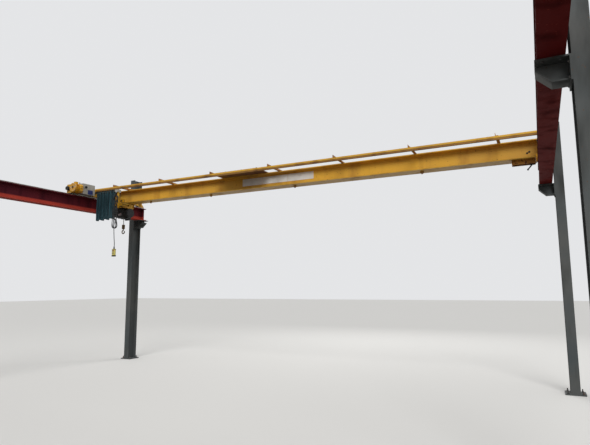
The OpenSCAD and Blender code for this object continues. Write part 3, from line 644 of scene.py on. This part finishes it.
# Axle caps, left out where a drive sits, and the bolts of caps and truck ends
def makeTruckTrim():
    shape, bolts = bmesh.new(), bmesh.new()
    axleZ, thick = centreOf("truck_wheels").z, truckTrim["capThick"]
    for side in ways:
        low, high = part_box("right_end_truck" if side > 0 else "left_end_truck")
        for face, out in ((low.x, -1), (high.x, 1)):
            for y in (low.y + truckTrim["inset"], high.y - truckTrim["inset"]):
                if out == -side and (y > (low.y + high.y) / 2) == (side > 0):
                    continue
                addRod(shape, (face, y, axleZ), (out, 0, 0), truckTrim["capRadius"], thick, 28, 0.003)
                for point in ringPoints((face + out * thick, y, axleZ), truckTrim["ring"], 4, 45):
                    addBolt(bolts, point, (out, 0, 0), truckTrim["ringBolt"])
        for y, out in ((low.y, -1), (high.y, 1)):
            for i in ways:
                for z in truckTrim["endZ"]:
                    point = ((low.x + high.x) / 2 + i * truckTrim["endX"], y, low.z + z)
                    addBolt(bolts, point, (0, out, 0), truckTrim["endBolt"])
    finishPiece(shape, "axle_caps", "brightSteel", "bridge")
    finishPiece(bolts, "truck_bolts", "boltSteel", "bridge")


makeBridgeBolts()
makeTruckTrim()
print("bridge fastenings made")


webHalf = 0.0045
signs = {"starts": (-0.87, -0.42, 0.11), "lengths": (0.446, 0.526, 0.52), "height": 0.136, "thick": 0.002,
         "rise": 0.024}


# Three bare white plates on the girder's web, to the middle's left
def makeSigns():
    girder = centreOf("main_girder")
    shape = bmesh.new()
    for start, length in zip(signs["starts"], signs["lengths"]):
        centre = (start + length / 2, girder.y - webHalf - signs["thick"], girder.z + signs["rise"])
        addBlock(shape, centre, (length, signs["thick"] * 2, signs["height"]), 0.0008)
    finishPiece(shape, "girder_plates", "signWhite", "bridge")


makeSigns()
print("girder plates made")


# A rounded open band round something, and a closed ring of round wire
def addBand(shape, centre, size, thick, corner):
    before = set(shape.faces)
    place = Matrix.Translation(centre) @ Matrix.Diagonal((*size, 1))
    made = bmesh.ops.create_cube(shape, size=1, matrix=place)["verts"]
    faces = dict.fromkeys(f for v in made for f in v.link_faces)
    ends = [f for f in faces if len({round(v.co.z, 5) for v in f.verts}) == 1]
    bmesh.ops.delete(shape, geom=ends, context="FACES_ONLY")
    uprights = [e for e in edgesOf(made) if abs(e.verts[0].co.z - e.verts[1].co.z) > 0.0005]
    bmesh.ops.bevel(shape, geom=uprights, offset=corner, affect="EDGES", segments=5, profile=0.5, material=-1)
    walls = [f for f in shape.faces if f not in before]
    bmesh.ops.solidify(shape, geom=walls, thickness=thick)


def addRing(shape, centre, axis, radius, wire, sides=28):
    place = Matrix.Translation(centre) @ turnTo(axis)
    start = place @ Matrix.Translation((radius, 0, 0)) @ Matrix.Rotation(math.radians(90), 4, "X")
    made = bmesh.ops.create_circle(shape, segments=8, radius=wire, matrix=start)["verts"]
    bmesh.ops.spin(shape, geom=made + edgesOf(made), cent=centre, axis=Vector(axis).normalized(), angle=math.tau,
                   steps=sides, use_merge=True)


# Radii as shares of the cable's, lengths in metres
gland = {"nut": (2.0, 0.006), "cap": (1.75, 0.007), "sleeve": 1.5, "taper": 0.07, "rings": 5, "offset": 0.012}


# Cable gland with its tapered rubber sleeve; the sleeve goes in a second mesh
def addGland(metal, rubber, start, along, radius, length=0.034):
    along = Vector(along).normalized()
    (nut, nutTall), (cap, capTall) = gland["nut"], gland["cap"]
    addRod(metal, start, along, radius * nut, nutTall, 6, 0.0008)
    addRod(metal, Vector(start) + along * nutTall, along, radius * cap, capTall, 18, 0.001)
    step = length / gland["rings"]
    for k in range(gland["rings"]):
        thick = radius * (gland["sleeve"] - gland["taper"] * k)
        spot = Vector(start) + along * (gland["offset"] + k * step)
        addRod(rubber, spot, along, thick, step * 0.86, 16, 0.0006, thick * 0.95)


leadCover = {"length": 0.076, "height": 0.05, "skin": 0.002, "edge": 0.005, "lid": (0.004, 0.005, 0.005),
             "screw": (0.0035, 0.0015), "screwsX": 0.030, "screwsZ": 0.017, "boss": (0.012, 0.004)}


# White cover on the lead carriage's box, with screwed lids and the two glands below
def makeLeadBox():
    low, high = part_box("lead_carriage")
    length, height, skin = leadCover["length"], leadCover["height"], leadCover["skin"]
    centre = Vector((high.x - length / 2, (low.y + high.y) / 2, low.z + height / 2))
    width = high.y - low.y
    cover, metal, rubber = bmesh.new(), bmesh.new(), bmesh.new()
    addBlock(cover, centre, (length + 2 * skin, width + 2 * skin, height + skin), leadCover["edge"])
    shorter, thick, lower = leadCover["lid"]
    for out in ways:
        lid = centre + Vector((0, out * (width / 2 + 2 * skin), 0))
        addBlock(cover, lid, (length - shorter, thick, height - lower))
        for i, j in corners:
            spot = lid + Vector((i * leadCover["screwsX"], out * thick / 2, j * leadCover["screwsZ"]))
            addRod(metal, spot, (0, out, 0), *leadCover["screw"], 12, 0.0004)
    addRod(cover, centre + Vector((length / 2 + skin, 0, 0)), (1, 0, 0), *leadCover["boss"], 20, 0.001)
    for name, radius in (("pendant_lead", hank["diameter"] / 2), ("hoist_lead", leads["diameter"] / 2)):
        route = bpy.data.objects[name].data.splines[0].bezier_points
        addGland(metal, rubber, route[0].co.copy(), route[1].co - route[0].co, radius)
    finishPiece(cover, "lead_box_cover", "boxGrey", "trolley")
    finishPiece(metal, "lead_box_glands", "cowlMetal", "trolley")
    finishPiece(rubber, "lead_box_sleeves", "blackRubber", "trolley", smooth=True)


# Each tie has a band, a lock and a loose end, the last two given as place and size
ties = {"heights": (0.30, 0.35, 0.40), "band": (0.104, 0.064, 0.010), "thick": 0.0022, "corner": 0.024,
        "lock": ((0.018, -0.035, 0), (0.012, 0.009, 0.013)),
        "end": ((0.030, -0.043, -0.006), (0.030, 0.0015, 0.006)), "turn": -28}


def makeHankTies():
    centre = centreOf("cable_hank")
    shape = bmesh.new()
    for height in ties["heights"]:
        spot = Vector((centre.x, centre.y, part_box("cable_hank")[0].z + height))
        addBand(shape, spot, ties["band"], ties["thick"], ties["corner"])
        addBlock(shape, spot + Vector(ties["lock"][0]), ties["lock"][1], 0.0015)
        addBlock(shape, spot + Vector(ties["end"][0]), ties["end"][1], 0.0004,
                 Matrix.Rotation(math.radians(ties["turn"]), 4, "Z"))
    finishPiece(shape, "hank_ties", "blackRubber", "trolley")


pendantTrim = {"button": (0.0075, 0.006), "stop": (0.009375, 0.0096), "collar": (0.0105, 0.006),
               "rows": (0.045, 0.012, -0.021), "columns": (-0.016, 0.016), "wider": 0.004,
               "foot": (0.012, 0.028, 0.005), "hood": (0.014, 0.006, 0.0015, 0.010),
               "rings": 6, "sleeve": 0.0165, "taper": 0.0013, "pitch": 0.009, "ringTall": 0.0078,
               "screwsX": 0.4, "screwsZ": (-0.052, 0.060), "screw": (0.003, 0.0012)}


# The pendant's buttons, foot, hood and the sleeve round its cable
def makePendantTrim():
    low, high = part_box("pendant")
    centre = (low + high) / 2
    dark, red, metal = bmesh.new(), bmesh.new(), bmesh.new()
    for row in pendantTrim["rows"]:
        for place in pendantTrim["columns"]:
            spot = Vector((centre.x + place, low.y - 0.001, centre.z + row))
            addRod(metal, spot + Vector((0, 0.004, 0)), (0, -1, 0), *pendantTrim["collar"], 20, 0.0008)
            stop = row == pendantTrim["rows"][0] and place > 0
            addRod(red if stop else dark, spot, (0, -1, 0), *pendantTrim["stop" if stop else "button"], 18, 0.0012)
    width, depth = high.x - low.x, high.y - low.y
    wide, deep = width + pendantTrim["wider"], depth + pendantTrim["wider"]
    rise, tall, edge = pendantTrim["foot"]
    addBlock(dark, (centre.x, centre.y, low.z + rise), (wide, deep, tall), edge)
    drop, tall, thick, corner = pendantTrim["hood"]
    addBand(dark, (centre.x, centre.y, high.z - drop), (wide, deep, tall), thick, corner)
    for k in range(pendantTrim["rings"]):
        thick = pendantTrim["sleeve"] - pendantTrim["taper"] * k
        start = (centre.x, cordEnd[1], high.z + 0.001 + pendantTrim["pitch"] * k)
        addRod(dark, start, up, thick, pendantTrim["ringTall"], 18, 0.0008, thick - 0.001)
    for i in ways:
        for z in pendantTrim["screwsZ"]:
            spot = (centre.x + i * pendantTrim["screwsX"] * width, low.y - 0.0002, centre.z + z)
            addRod(metal, spot, (0, -1, 0), *pendantTrim["screw"], 10)
    finishPiece(dark, "pendant_rubbers", "blackRubber", "trolley")
    finishPiece(red, "pendant_stop_button", "buttonRed", "trolley")
    finishPiece(metal, "pendant_collars", "brightSteel", "trolley")


boxTrim = {"door": 0.025, "hinge": (0.006, 0.013), "hingeEnd": 0.045, "hingeStart": -0.021, "hingePitch": 0.0145,
           "leaf": (0.022, 0.003, 0.036), "seal": 0.004, "sealThick": 0.002, "sealGap": 0.016, "proud": 0.0004,
           "knobBase": (0.027, 0.006), "knob": (0.020, 0.020), "grip": (0.010, 0.012, 0.038), "gripOut": 0.029,
           "lock": (0.009, 0.003), "lockIn": 0.02, "lockEnd": 0.06, "slot": (0.002, 0.002, 0.009),
           "plate": (0.002, 0.128, 0.092), "plateAt": (0.187, 0.052), "rivetAt": (0.058, 0.040),
           "rivet": (0.003, 0.0022), "glands": (0.03, 0.06, 0.085), "glandY": 0.06, "nut": (0.012, 0.006),
           "cone": (0.009, 0.007), "sleeve": 0.022}


# Hinges, gasket, knob, lock, blank blue plate and glands of the control box
def makeBoxTrim():
    low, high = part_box("control_box")
    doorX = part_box("control_box_door")[0].x
    face, out = doorX + boxTrim["door"], (1, 0, 0)
    middle = (low + high) / 2
    height, width = high.z - low.z, high.y - low.y
    metal, dark, plate = bmesh.new(), bmesh.new(), bmesh.new()
    for z in (low.z + boxTrim["hingeEnd"], high.z - boxTrim["hingeEnd"]):
        for k in range(3):
            start = (doorX + 0.004, high.y + 0.004, z + boxTrim["hingeStart"] + boxTrim["hingePitch"] * k)
            addRod(metal, start, up, *boxTrim["hinge"], 16, 0.001)
        addBlock(metal, (doorX - 0.014, high.y + 0.001, z), boxTrim["leaf"], 0.0006)
    seal, thick, gap, proud = [boxTrim[name] for name in ("seal", "sealThick", "sealGap", "proud")]
    for z in (low.z - proud, high.z + proud):
        addBlock(dark, (doorX, middle.y, z), (seal, width - gap, thick), 0.0004)
    for y in (low.y - proud, high.y + proud):
        addBlock(dark, (doorX, y, middle.z), (seal, thick, height - gap), 0.0004)
    knob = Vector((face, low.y + width / 4, middle.z + height / 6))
    addRod(dark, knob, out, *boxTrim["knobBase"], 28, 0.0015)
    addRod(dark, knob + Vector((0.005, 0, 0)), out, *boxTrim["knob"], 24, 0.003)
    addBlock(dark, knob + Vector((boxTrim["gripOut"], 0, 0)), boxTrim["grip"])
    for z in (low.z + boxTrim["lockEnd"], high.z - boxTrim["lockEnd"]):
        lock = Vector((face, low.y + boxTrim["lockIn"], z))
        addRod(metal, lock, out, *boxTrim["lock"], 20, 0.0008)
        addBlock(metal, lock + Vector((0.0035, 0, 0)), boxTrim["slot"], 0.0003)
    spot = Vector((face + 0.001, low.y + boxTrim["plateAt"][0], low.z + boxTrim["plateAt"][1]))
    addBlock(plate, spot, boxTrim["plate"], 0.0008)
    for i, j in corners:
        rivet = spot + Vector((0, i * boxTrim["rivetAt"][0], j * boxTrim["rivetAt"][1]))
        addRod(metal, rivet, out, *boxTrim["rivet"], 12, 0.0006)
    route = bpy.data.objects["control_lead"].data.splines[0].bezier_points
    addGland(metal, dark, route[0].co.copy(), (0, 1, 0), leads["diameter"] / 2, boxTrim["sleeve"])
    for x in boxTrim["glands"]:
        spot = Vector((low.x + x, low.y + boxTrim["glandY"], low.z))
        addRod(metal, spot, down, *boxTrim["nut"], 6, 0.0008)
        addRod(dark, spot - Vector((0, 0, boxTrim["nut"][1])), down, *boxTrim["cone"], 18, 0.001)
    finishPiece(metal, "control_box_fittings", "brightSteel", "bridge")
    finishPiece(dark, "control_box_rubbers", "blackRubber", "bridge")
    finishPiece(plate, "control_box_plate", "plateBlue", "bridge")


# Places are from the motor's axis, at the end of the gear housing
driveTrim = {"box": (0.066, 0.058, 0.036), "boxAt": (-0.046, -0.006), "lidWider": 0.006, "lidTall": 0.005,
             "lidScrews": (0.027, 0.023), "lidScrew": (0.0035, 0.0025), "eye": (0.014, 0.004),
             "eyeAt": (0.040, 0.112), "eyeFoot": 0.080, "foot": (0.012, 0.006), "grille": (0.010, 0.019, 0.028),
             "wire": 0.0013, "proud": 0.0015, "bar": (0.060, 0.002, 0.0022), "rim": 0.062,
             "rimScrews": (0.005, 0.0035), "gearBolts": ((-0.072, -0.068), (-0.072, 0.058), (0.052, -0.068),
                                                        (0.052, 0.058)),
             "bolt": 0.007, "side": 0.160, "sideY": (0.020, 0.060), "sideZ": (-0.055, 0.035), "sideBolt": 0.006,
             "plug": (0.011, 0.008), "plugAt": (0.040, -0.005)}


# Terminal box, lifting eye, fan grille and cover bolts of both drives, the right one turned half round
def makeDriveTrim():
    cowlLow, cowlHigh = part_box("motor_cowls")
    gearLow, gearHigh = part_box("drive_gearboxes")
    middle = (cowlLow + cowlHigh) / 2
    radius = (cowlHigh.z - cowlLow.z) / 2
    axis = Vector((radius - cowlHigh.x, gearLow.y, middle.z))
    fan = Vector((axis.x, cowlLow.y, middle.z))
    cheek = Vector((driveTrim["side"] - gearHigh.x, gearLow.y, middle.z))
    size, wider = driveTrim["box"], driveTrim["lidWider"]
    panel, bolts = bmesh.new(), bmesh.new()
    for turn in (0, 180):
        place = Matrix.Translation((0, middle.y, 0)) @ Matrix.Rotation(math.radians(turn), 4, "Z")
        place = place @ Matrix.Translation((0, -middle.y, 0))
        out, side = place.to_3x3() @ Vector((0, -1, 0)), place.to_3x3() @ Vector((1, 0, 0))
        along, above = driveTrim["boxAt"]
        box = place @ (axis + Vector((0, along, radius + size[2] / 2 + above)))
        addBlock(panel, box, size, 0.004)
        lid = box + Vector((0, 0, size[2] / 2 + 0.002))
        addBlock(panel, lid, (size[0] + wider, size[1] + wider, driveTrim["lidTall"]))
        for i, j in corners:
            spot = lid + Vector((i * driveTrim["lidScrews"][0], j * driveTrim["lidScrews"][1], 0.0025))
            addRod(bolts, spot, up, *driveTrim["lidScrew"], 10)
        eyeY, eyeZ = driveTrim["eyeAt"]
        addRing(bolts, place @ (axis + Vector((0, eyeY, eyeZ))), (0, 1, 0), *driveTrim["eye"], 20)
        addRod(bolts, place @ (axis + Vector((0, eyeY, driveTrim["eyeFoot"]))), up, *driveTrim["foot"], 16, 0.001)
        grille = place @ (fan + Vector((0, driveTrim["proud"], 0)))
        for ring in driveTrim["grille"]:
            addRing(bolts, grille, (0, 1, 0), ring, driveTrim["wire"], 24)
        for k in range(4):
            addBlock(bolts, grille, driveTrim["bar"], 0.0, Matrix.Rotation(math.radians(45 * k), 4, "Y"))
        for k, spot in enumerate(ringPoints(fan, driveTrim["rim"], 8, 22.5, "Y")):
            addRod(bolts, place @ spot, out, driveTrim["rimScrews"][k % 2], 0.002, 12, 0.0004)
        for i, j in driveTrim["gearBolts"]:
            addBolt(bolts, place @ (axis + Vector((i, 0, j))), out, driveTrim["bolt"])
        for j in driveTrim["sideY"]:
            for k in driveTrim["sideZ"]:
                addBolt(bolts, place @ (cheek + Vector((0, j, k))), side, driveTrim["sideBolt"])
        addRod(bolts, place @ (cheek + Vector((0, *driveTrim["plugAt"]))), side, *driveTrim["plug"], 6, 0.001)
    finishPiece(panel, "motor_terminal_boxes", "panelYellow", "bridge")
    finishPiece(bolts, "drive_fittings", "boltSteel", "bridge")


# Places are from the hoist's axis, midway between gear cover and motor
hoistTrim = {"rim": (0.1, 0.004), "rimIn": 0.003, "motorRim": 0.030, "coverBolts": (0.089, 0.0055),
             "coverBack": 0.075, "motorBolts": (0.074, 0.0055), "gearBolts": (0.055, 0.005), "hub": (0.030, 0.006),
             "window": (0.002, -0.11, -0.03), "windowSize": (0.112, 0.010, 0.092), "windowBolts": (0.047, 0.038),
             "windowBolt": (0.005, 0.004), "plate": (0.088, 0.002, 0.048), "guide": (0.026, 0.006),
             "guideDrop": 0.118, "ear": (0.036, 0.05, 0.010), "earAt": (0.045, 0.114), "bucket": (0.150, 0.050),
             "bucketAt": (-0.02, 0.025), "bands": ((-0.006, 0.012, 0.003), (0.05, 0.006, 0.002)),
             "bandCorner": 0.016, "sleeve": 0.014}


# Hoist: flange rims, cover bolts, blank plate, inspection cover, chain guide and bucket rim
def makeHoistTrim():
    motorLow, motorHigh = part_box("hoist_motor")
    gearLow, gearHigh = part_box("hoist_gear_cover")
    x, y, z = (gearHigh.x + motorLow.x) / 2, centreOf("hoist_motor").y, centreOf("hoist_motor").z
    bolts, dark, plate = bmesh.new(), bmesh.new(), bmesh.new()
    near, far = (-1, 0, 0), (1, 0, 0)
    rimIn = hoistTrim["rimIn"]
    for ringX in (gearHigh.x - rimIn, motorLow.x + rimIn, motorHigh.x - hoistTrim["motorRim"]):
        addRing(dark, (ringX, y, z), far, *hoistTrim["rim"], 48)
    ring, size = hoistTrim["coverBolts"]
    for spot in ringPoints((gearHigh.x - hoistTrim["coverBack"], y, z), ring, 8, 22.5):
        addBolt(bolts, spot, near, size)
    (motorRing, motorBolt), (gearRing, gearBolt) = hoistTrim["motorBolts"], hoistTrim["gearBolts"]
    motorSpots = ringPoints((motorHigh.x, y, z), motorRing, 4, 45)
    for motorSpot, gearSpot in zip(motorSpots, ringPoints((gearLow.x, y, z), gearRing, 4, 45)):
        addBolt(bolts, motorSpot, far, motorBolt)
        addBolt(bolts, gearSpot, near, gearBolt)
    addRod(dark, (gearLow.x, y, z), near, *hoistTrim["hub"], 28, 0.002)
    window = Vector((x, y, z)) + Vector(hoistTrim["window"])
    addBlock(dark, window - Vector((0, 0.004, 0)), hoistTrim["windowSize"], 0.003)
    for i, j in corners:
        spot = window + Vector((i * hoistTrim["windowBolts"][0], -0.009, j * hoistTrim["windowBolts"][1]))
        addRod(bolts, spot, (0, -1, 0), *hoistTrim["windowBolt"], 6, 0.0006)
    addBlock(plate, window - Vector((0, 0.0095, 0)), hoistTrim["plate"], 0.0005)
    addRing(bolts, (x, y, z - hoistTrim["guideDrop"]), up, *hoistTrim["guide"], 28)
    for i in ways:
        addBlock(dark, (x + i * hoistTrim["earAt"][0], y, z - hoistTrim["earAt"][1]), hoistTrim["ear"])
    bucketLow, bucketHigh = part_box("chain_bucket")
    shift, inset = hoistTrim["bucketAt"]
    for edge, (rise, tall, thick) in zip((bucketHigh.z, bucketLow.z), hoistTrim["bands"]):
        spot = (x + shift, bucketHigh.y - inset, edge + rise)
        addBand(dark, spot, (*hoistTrim["bucket"], tall), thick, hoistTrim["bandCorner"])
    route = bpy.data.objects["hoist_lead"].data.splines[0].bezier_points
    addGland(bolts, dark, route[-1].co.copy(), (0, -1, 0), leads["diameter"] / 2, hoistTrim["sleeve"])
    finishPiece(bolts, "hoist_fittings", "boltSteel", "trolley")
    finishPiece(dark, "hoist_covers", "darkPaint", "trolley")
    finishPiece(plate, "hoist_plate", "cowlMetal", "trolley")


trolleyTrim = {"pin": 0.0135, "pinX": 0.075, "bolt": 0.007, "boltX": 0.12, "edge": 0.02, "nut": (0.008, 0.004),
               "nutRise": 0.03}


# Wheel pin nuts on the side plates and bolts through the end plates
def makeTrolleyTrim():
    low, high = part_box("trolley_side_plates")
    endLow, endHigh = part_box("trolley_end_plates")
    wheelZ, middle, edge = centreOf("trolley_wheels").z, (low.x + high.x) / 2, trolleyTrim["edge"]
    shape = bmesh.new()
    for face, out in ((low.y, -1), (high.y, 1)):
        for i in ways:
            addBolt(shape, (middle + i * trolleyTrim["pinX"], face, wheelZ), (0, out, 0), trolleyTrim["pin"])
            for z in (endLow.z + edge, endHigh.z - edge):
                addBolt(shape, (middle + i * trolleyTrim["boltX"], face, z), (0, out, 0), trolleyTrim["bolt"])
    for face, out in ((endLow.x, -1), (endHigh.x, 1)):
        for y in (endLow.y + edge, endHigh.y - edge):
            spot = (face, y, endLow.z + trolleyTrim["nutRise"])
            addRod(shape, spot, (out, 0, 0), *trolleyTrim["nut"], 6, 0.0008)
    finishPiece(shape, "trolley_bolts", "boltSteel", "trolley")


tray = {"start": -1.235, "length": 0.985, "sheet": 0.002, "lip": 0.012, "near": 0.004, "far": 0.055,
        "lift": 0.0012, "ribs": (0.33, 0.67), "rib": (0.022, 0.008), "ribShort": 0.03, "ribRise": 0.005,
        "boltShares": (0.06, 0.94), "boltNear": 0.012, "boltFar": 0.02, "bolt": 0.006}


# Sheet tray that lies on the side beam and the girder, beside the third arm
def makeTray():
    beamLow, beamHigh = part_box("side_beam")
    start, length, sheet, lip = [tray[name] for name in ("start", "length", "sheet", "lip")]
    near, far = beamLow.y + tray["near"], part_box("main_girder")[0].y + tray["far"]
    width, y, z = far - near, (near + far) / 2, beamHigh.z + tray["lift"]
    shape, bolts = bmesh.new(), bmesh.new()
    addBlock(shape, (start + length / 2, y, z), (length, width, sheet), 0.0004)
    for x in (start + sheet / 2, start + length - sheet / 2):
        addBlock(shape, (x, y, z + lip / 2), (sheet, width, lip), 0.0004)
    for share in tray["ribs"]:
        rib = (tray["rib"][0], width - tray["ribShort"], tray["rib"][1])
        addBlock(shape, (start + length * share, y, z + tray["ribRise"]), rib, 0.003)
    for share in tray["boltShares"]:
        for boltY in (near + tray["boltNear"], far - tray["boltFar"]):
            addBolt(bolts, (start + length * share, boltY, z + sheet / 2), up, tray["bolt"])
    finishPiece(shape, "cable_tray", "trayBrown", "bridge")
    finishPiece(bolts, "cable_tray_bolts", "boltSteel", "bridge")


endTrim = {"bolts": ((4.093, 3.555), (4.122, 3.572)), "boltSize": 0.013, "in": 0.050,
           "body": (0.060, 0.050, 0.012), "rod": (0.009, 0.085), "lean": (-0.64, 0, -0.77), "rodDrop": 0.010,
           "roller": (0.013, 0.016), "rollerAt": (-0.056, -0.008, -0.077), "pin": (0.004, 0.022), "pinOut": 0.003}


# At the right end: two dark bolts on the web and the short rod of a limit switch under the stop
def makeEndTrim():
    girderY = centreOf("main_girder").y
    stopLow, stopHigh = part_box("trolley_stops")
    bolts, dark = bmesh.new(), bmesh.new()
    for x, z in endTrim["bolts"]:
        addBolt(bolts, (x, girderY - webHalf, z), (0, -1, 0), endTrim["boltSize"])
    top = Vector((stopHigh.x - endTrim["in"], girderY, stopLow.z))
    addBlock(dark, top - Vector((0, 0, endTrim["body"][2] / 2)), endTrim["body"], 0.003)
    addRod(dark, top - Vector((0, 0, endTrim["rodDrop"])), endTrim["lean"], *endTrim["rod"], 14, 0.001)
    roller = top + Vector(endTrim["rollerAt"])
    addRod(dark, roller, (0, 1, 0), *endTrim["roller"], 20, 0.002)
    addRod(bolts, roller - Vector((0, endTrim["pinOut"], 0)), (0, 1, 0), *endTrim["pin"], 10)
    finishPiece(bolts, "girder_end_bolts", "darkPaint", "bridge")
    finishPiece(dark, "limit_switch", "darkPaint", "bridge")


beads = {"radius": 0.0035, "step": 0.011, "foot": 0.005, "plate": 0.012, "inset": 0.01, "webLow": 0.105,
         "webTop": 0.02, "lugs": (-0.377, -0.191, 0.03, 0.301), "lugHalf": 0.027, "lugSide": 0.006}


# A weld bead: a row of short, slightly uneven drops that run into each other
def addBead(shape, start, end, radius=beads["radius"]):
    start, end = Vector(start), Vector(end)
    along = end - start
    count = max(2, int(along.length / beads["step"]))
    for k in range(count):
        size = radius * random.uniform(0.85, 1.15)
        addRod(shape, start + along * (k / count), along, size, along.length / count * 1.1, 6, 0, size * 0.8)


# Beads at the column feet, the girder's ends and its lugs
def makeWelds():
    onColumns, onBridge = bmesh.new(), bmesh.new()
    plateTop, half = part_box("base_plates")[1].z, column["flangeHalf"]
    for side in ways:
        for y in columnYs:
            for s in ways:
                x, flangeY = side * columnX, y + s * column["half"]
                addBead(onColumns, (x - half, flangeY, plateTop), (x + half, flangeY, plateTop), beads["foot"])
    low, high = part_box("main_girder")
    y = (low.y + high.y) / 2
    for side in ways:
        x, z = side * (high.x - 0.001), high.z - beads["plate"]
        addBead(onBridge, (x, low.y + beads["inset"], z), (x, high.y - beads["inset"], z))
        for s in ways:
            webY = y + s * webHalf
            addBead(onBridge, (x, webY, low.z + beads["webLow"]), (x, webY, high.z - beads["webTop"]))
    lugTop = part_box("girder_lugs")[1].z - 0.001
    for share in beads["lugs"]:
        x, half = share * (high.x - low.x), beads["lugHalf"]
        for s in ways:
            lugY = y + s * beads["lugSide"]
            addBead(onBridge, (x - half, lugY, lugTop), (x + half, lugY, lugTop))
    finishPiece(onColumns, "column_welds", "columnPaint", "runway")
    finishPiece(onBridge, "bridge_welds", "craneYellow", "bridge")


makeLeadBox()
makeHankTies()
makePendantTrim()
makeBoxTrim()
makeDriveTrim()
makeHoistTrim()
makeTrolleyTrim()
print("hoist, pendant and drives fitted out")
makeTray()
makeEndTrim()
makeWelds()
print("tray, switch and welds made")


# One for camera, glossy and see-through rays, and nought for bounced light
def seenRays(tree):
    rays = tree.nodes.new("ShaderNodeLightPath")
    first, second = tree.nodes.new("ShaderNodeMath"), tree.nodes.new("ShaderNodeMath")
    first.operation = second.operation = "MAXIMUM"
    tree.links.new(rays.outputs["Is Camera Ray"], first.inputs[0])
    tree.links.new(rays.outputs["Is Glossy Ray"], first.inputs[1])
    tree.links.new(first.outputs[0], second.inputs[0])
    tree.links.new(rays.outputs["Is Transmission Ray"], second.inputs[1])
    return second.outputs[0]


# Mixes what lights the object with what the camera sees
def mixSeen(tree, lighting, seen, target):
    mix = tree.nodes.new("ShaderNodeMixShader")
    tree.links.new(seenRays(tree), mix.inputs[0])
    tree.links.new(lighting.outputs[0], mix.inputs[1])
    tree.links.new(seen.outputs[0], mix.inputs[2])
    tree.links.new(mix.outputs[0], target.inputs["Surface"])


stage = {"size": 120, "floor": (222, 221, 218), "floorLight": (120, 118, 114), "world": 0.55,
         "backdrop": (244, 245, 247), "backdropLevel": 0.86}


def makeStage():
    bpy.ops.mesh.primitive_plane_add(size=stage["size"], location=(0, 0, 0))
    floor = bpy.context.object
    floor.name = "floor"
    material = bpy.data.materials.new("floorPale")
    material.use_nodes = True
    tree = material.node_tree
    shader = tree.nodes["Principled BSDF"]
    shader.inputs["Base Color"].default_value = linear(stage["floor"])
    shader.inputs["Roughness"].default_value = 0.9
    dull = addNode(tree, "ShaderNodeBsdfDiffuse", Color=linear(stage["floorLight"]))
    mixSeen(tree, dull, shader, tree.nodes["Material Output"])
    floor.data.materials.append(material)


# Pale world: white to the camera, glossy and see-through rays, softer as light
def makeWorld():
    world = bpy.data.worlds.new("world")
    bpy.context.scene.world = world
    world.use_nodes = True
    tree = world.node_tree
    tree.nodes.clear()
    light = addNode(tree, "ShaderNodeBackground", Strength=stage["world"], Color=(1, 1, 1, 1))
    seen = addNode(tree, "ShaderNodeBackground", Strength=stage["backdropLevel"], Color=linear(stage["backdrop"]))
    mixSeen(tree, light, seen, tree.nodes.new("ShaderNodeOutputWorld"))


lamps = {"fill": ((9, -6, 6), 200, 5), "back": ((0, 12, 8), 300, 6)}
sun = {"energy": 1.55, "angle": 30, "towards": (-0.52, 1.45, -1), "aim": (0, 1, 2.5)}


def makeLamps():
    roof = bpy.data.lights.new("roofLight", "SUN")
    roof.energy = sun["energy"]
    roof.angle = math.radians(sun["angle"])
    turn = Vector(sun["towards"]).to_track_quat("-Z", "Y")
    addObject("roofLight", roof).matrix_world = turn.to_matrix().to_4x4()
    for name, (place, power, size) in lamps.items():
        light = bpy.data.lights.new(name, "AREA")
        light.energy = power
        light.size = size
        turn = (Vector(sun["aim"]) - Vector(place)).to_track_quat("-Z", "Y")
        addObject(name, light).matrix_world = Matrix.Translation(place) @ turn.to_matrix().to_4x4()


makeStage()
makeWorld()
makeLamps()
bpy.context.scene.view_settings.view_transform = "Standard"
print("stage and lights set")
